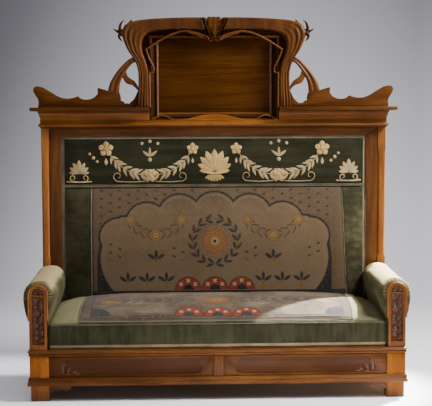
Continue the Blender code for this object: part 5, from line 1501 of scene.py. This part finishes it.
for side, way in HANDS.items():
    stems = []
    for depth, radius, taper, places in TENDRILS:
        line = curved([(way * across, depth, up) for across, up in places])
        stem = thread("tendril", line, radius, lambda t, taper=taper: 1.1 - taper * t)
        # Painted shade: stems in front of the clasp are nearly black, for the shade of the grooves.
        black = depth < OVER_CLASP_Y
        stems.append(dress(stem, walnut(2, 0.08, 0, 0.1) if black else walnut(0, 0.36, 0, 0.6)))
    tendrils = joined("crest_tendrils_" + side, stems)
    hand_over(tendrils, smooth=60)
    spots = [(way * NICHE_STEM_X, 0.2600, 1.798 - 0.0396 * step) for step in range(6)]
    fall = thread("niche_stem_" + side, spots, 0.0044)
    # Painted highlight: the falling stem is pale and grey, for the light along it.
    hand_over(fall, walnut(2, 0.80, 0.30), smooth=60)

# The room: a sheet of pale paper that fades into even grey air, lit softly from the front and
# above. A narrow beam from behind on the right bleaches that end of the seat and arm.


def room_floor():
    """Pale paper that thins out to nothing far away, painted dark under the bench as painted shade,
    and glowing a little elsewhere as painted light, most on a strip behind the left end.
    """
    material, feed, place = new_material(
        "pale_floor", Roughness=0.7, Specular_IOR_Level=0.2, Emission_Strength=1.0)
    paper = place.speckle(2.0, 2.0)
    x, y, _z = place.parts()
    # Painted shade under the bench, and painted light that glows from the rest of the paper, a
    # strip behind the left end and the front.
    clear = x.size().over(0.96, 1.06).most(y.size().over(0.24, 0.335))
    lit_strip = y.over(0.20, 0.34) * y.over(0.90, 0.50) * x.over(-0.60, -1.20)
    in_front = y.over(-0.31, -0.38)
    paper = paper.between((0.91, 0.90, 0.93), (0.94, 0.93, 0.96))
    feed("Base Color", clear.between((0.36, 0.33, 0.33), paper))
    glow = clear * 0.050 + lit_strip * 0.62 + in_front * 0.03
    feed("Emission Color", glow.between((0, 0, 0), (1.52, 1.50, 1.60)))
    away = ((x * 0.62).power(2.0) + y.power(2.0)).power(0.5)
    feed("Alpha", away.over(3.4, 0.9))
    return material


FLOOR_SIZE = 24
FLOOR_GAP = 0.0004
bpy.ops.mesh.primitive_plane_add(size=FLOOR_SIZE, location=(0, 0, -FLOOR_GAP))
floor = bpy.context.active_object
floor.name = "studio_floor"
floor.data.materials.append(room_floor())

world = bpy.data.worlds.new("studio_air")
bpy.context.scene.world = world
world.use_nodes = True
air = Wire(world.node_tree).node("TexCoord", out=0)
side, _ahead, up = air.parts()
fall_off = side.power(2.0).least(0.048) * -7.673
glow = side * 1.174 - up * 1.745 - side * up * 1.366 + fall_off + 0.564
colour = glow.over(0.0, 1.0).between((0.132, 0.129, 0.146), (0.975, 0.963, 1.048))
background = world.node_tree.nodes["Background"].inputs
world.node_tree.links.new(colour.socket, background["Color"])
background["Strength"].default_value = 1.0


def lamp(name, kind, place, aim, power, **settings):
    """A lamp that faces a point of the bench."""
    light = bpy.data.lights.new(name, kind)
    light.energy = power
    for setting, value in settings.items():
        setattr(light, setting, value)
    stand = set_down(name, light)
    stand.location = place
    stand.rotation_euler = (Vector(aim) - Vector(place)).to_track_quat("-Z", "Y").to_euler()


for name, place, aim, width, power in (
        ("key_light", (3.0, -0.8, 3.7), (0, 0, 0.5), 1.3, 430),
        ("fill_light", (0.8, -5.5, 2.6), (0, 0, 0.9), 2.5, 12),
        ("ceiling_light", (-1.6, -0.9, 4.9), (-0.8, -0.7, 0.0), 3.0, 72)):
    lamp(name, "AREA", place, aim, power, shape="RECTANGLE", size=width, size_y=width)
BEAM_AIM = Vector((0.80, -0.05, 0.50))
BEAM_WAY = Vector((0.559, 0.438, 0.707))
BEAM_REACH = 4.0
lamp("side_beam", "SPOT", BEAM_AIM + BEAM_REACH * BEAM_WAY, BEAM_AIM, 11500,
     spot_size=math.radians(21), spot_blend=0.85, shadow_soft_size=0.06)

# The camera stands some six metres away and a little to the left, and looks slightly down at the
# bench, with its frame moved down rather than tilted further.
PHOTO_WIDTH = 432
FOCAL_PIXELS = 1059.35
CAMERA_TURN = -0.03404
CAMERA_TILT = 0.06285
CAMERA_ROLL = -0.00356
camera_data = bpy.data.cameras.new("camera")
camera_data.sensor_width = 36
camera_data.lens = FOCAL_PIXELS / PHOTO_WIDTH * camera_data.sensor_width
camera_data.shift_y = -0.08
camera = set_down("camera", camera_data)
camera.location = (-0.2056, -6.0369, 1.6300)
turn = Matrix.Rotation(CAMERA_TURN, 3, "Z")
tilt = Matrix.Rotation(math.pi / 2 - CAMERA_TILT, 3, "X")
roll = Matrix.Rotation(CAMERA_ROLL, 3, "Z")
camera.rotation_euler = (turn @ tilt @ roll).to_euler()
bpy.context.scene.camera = camera
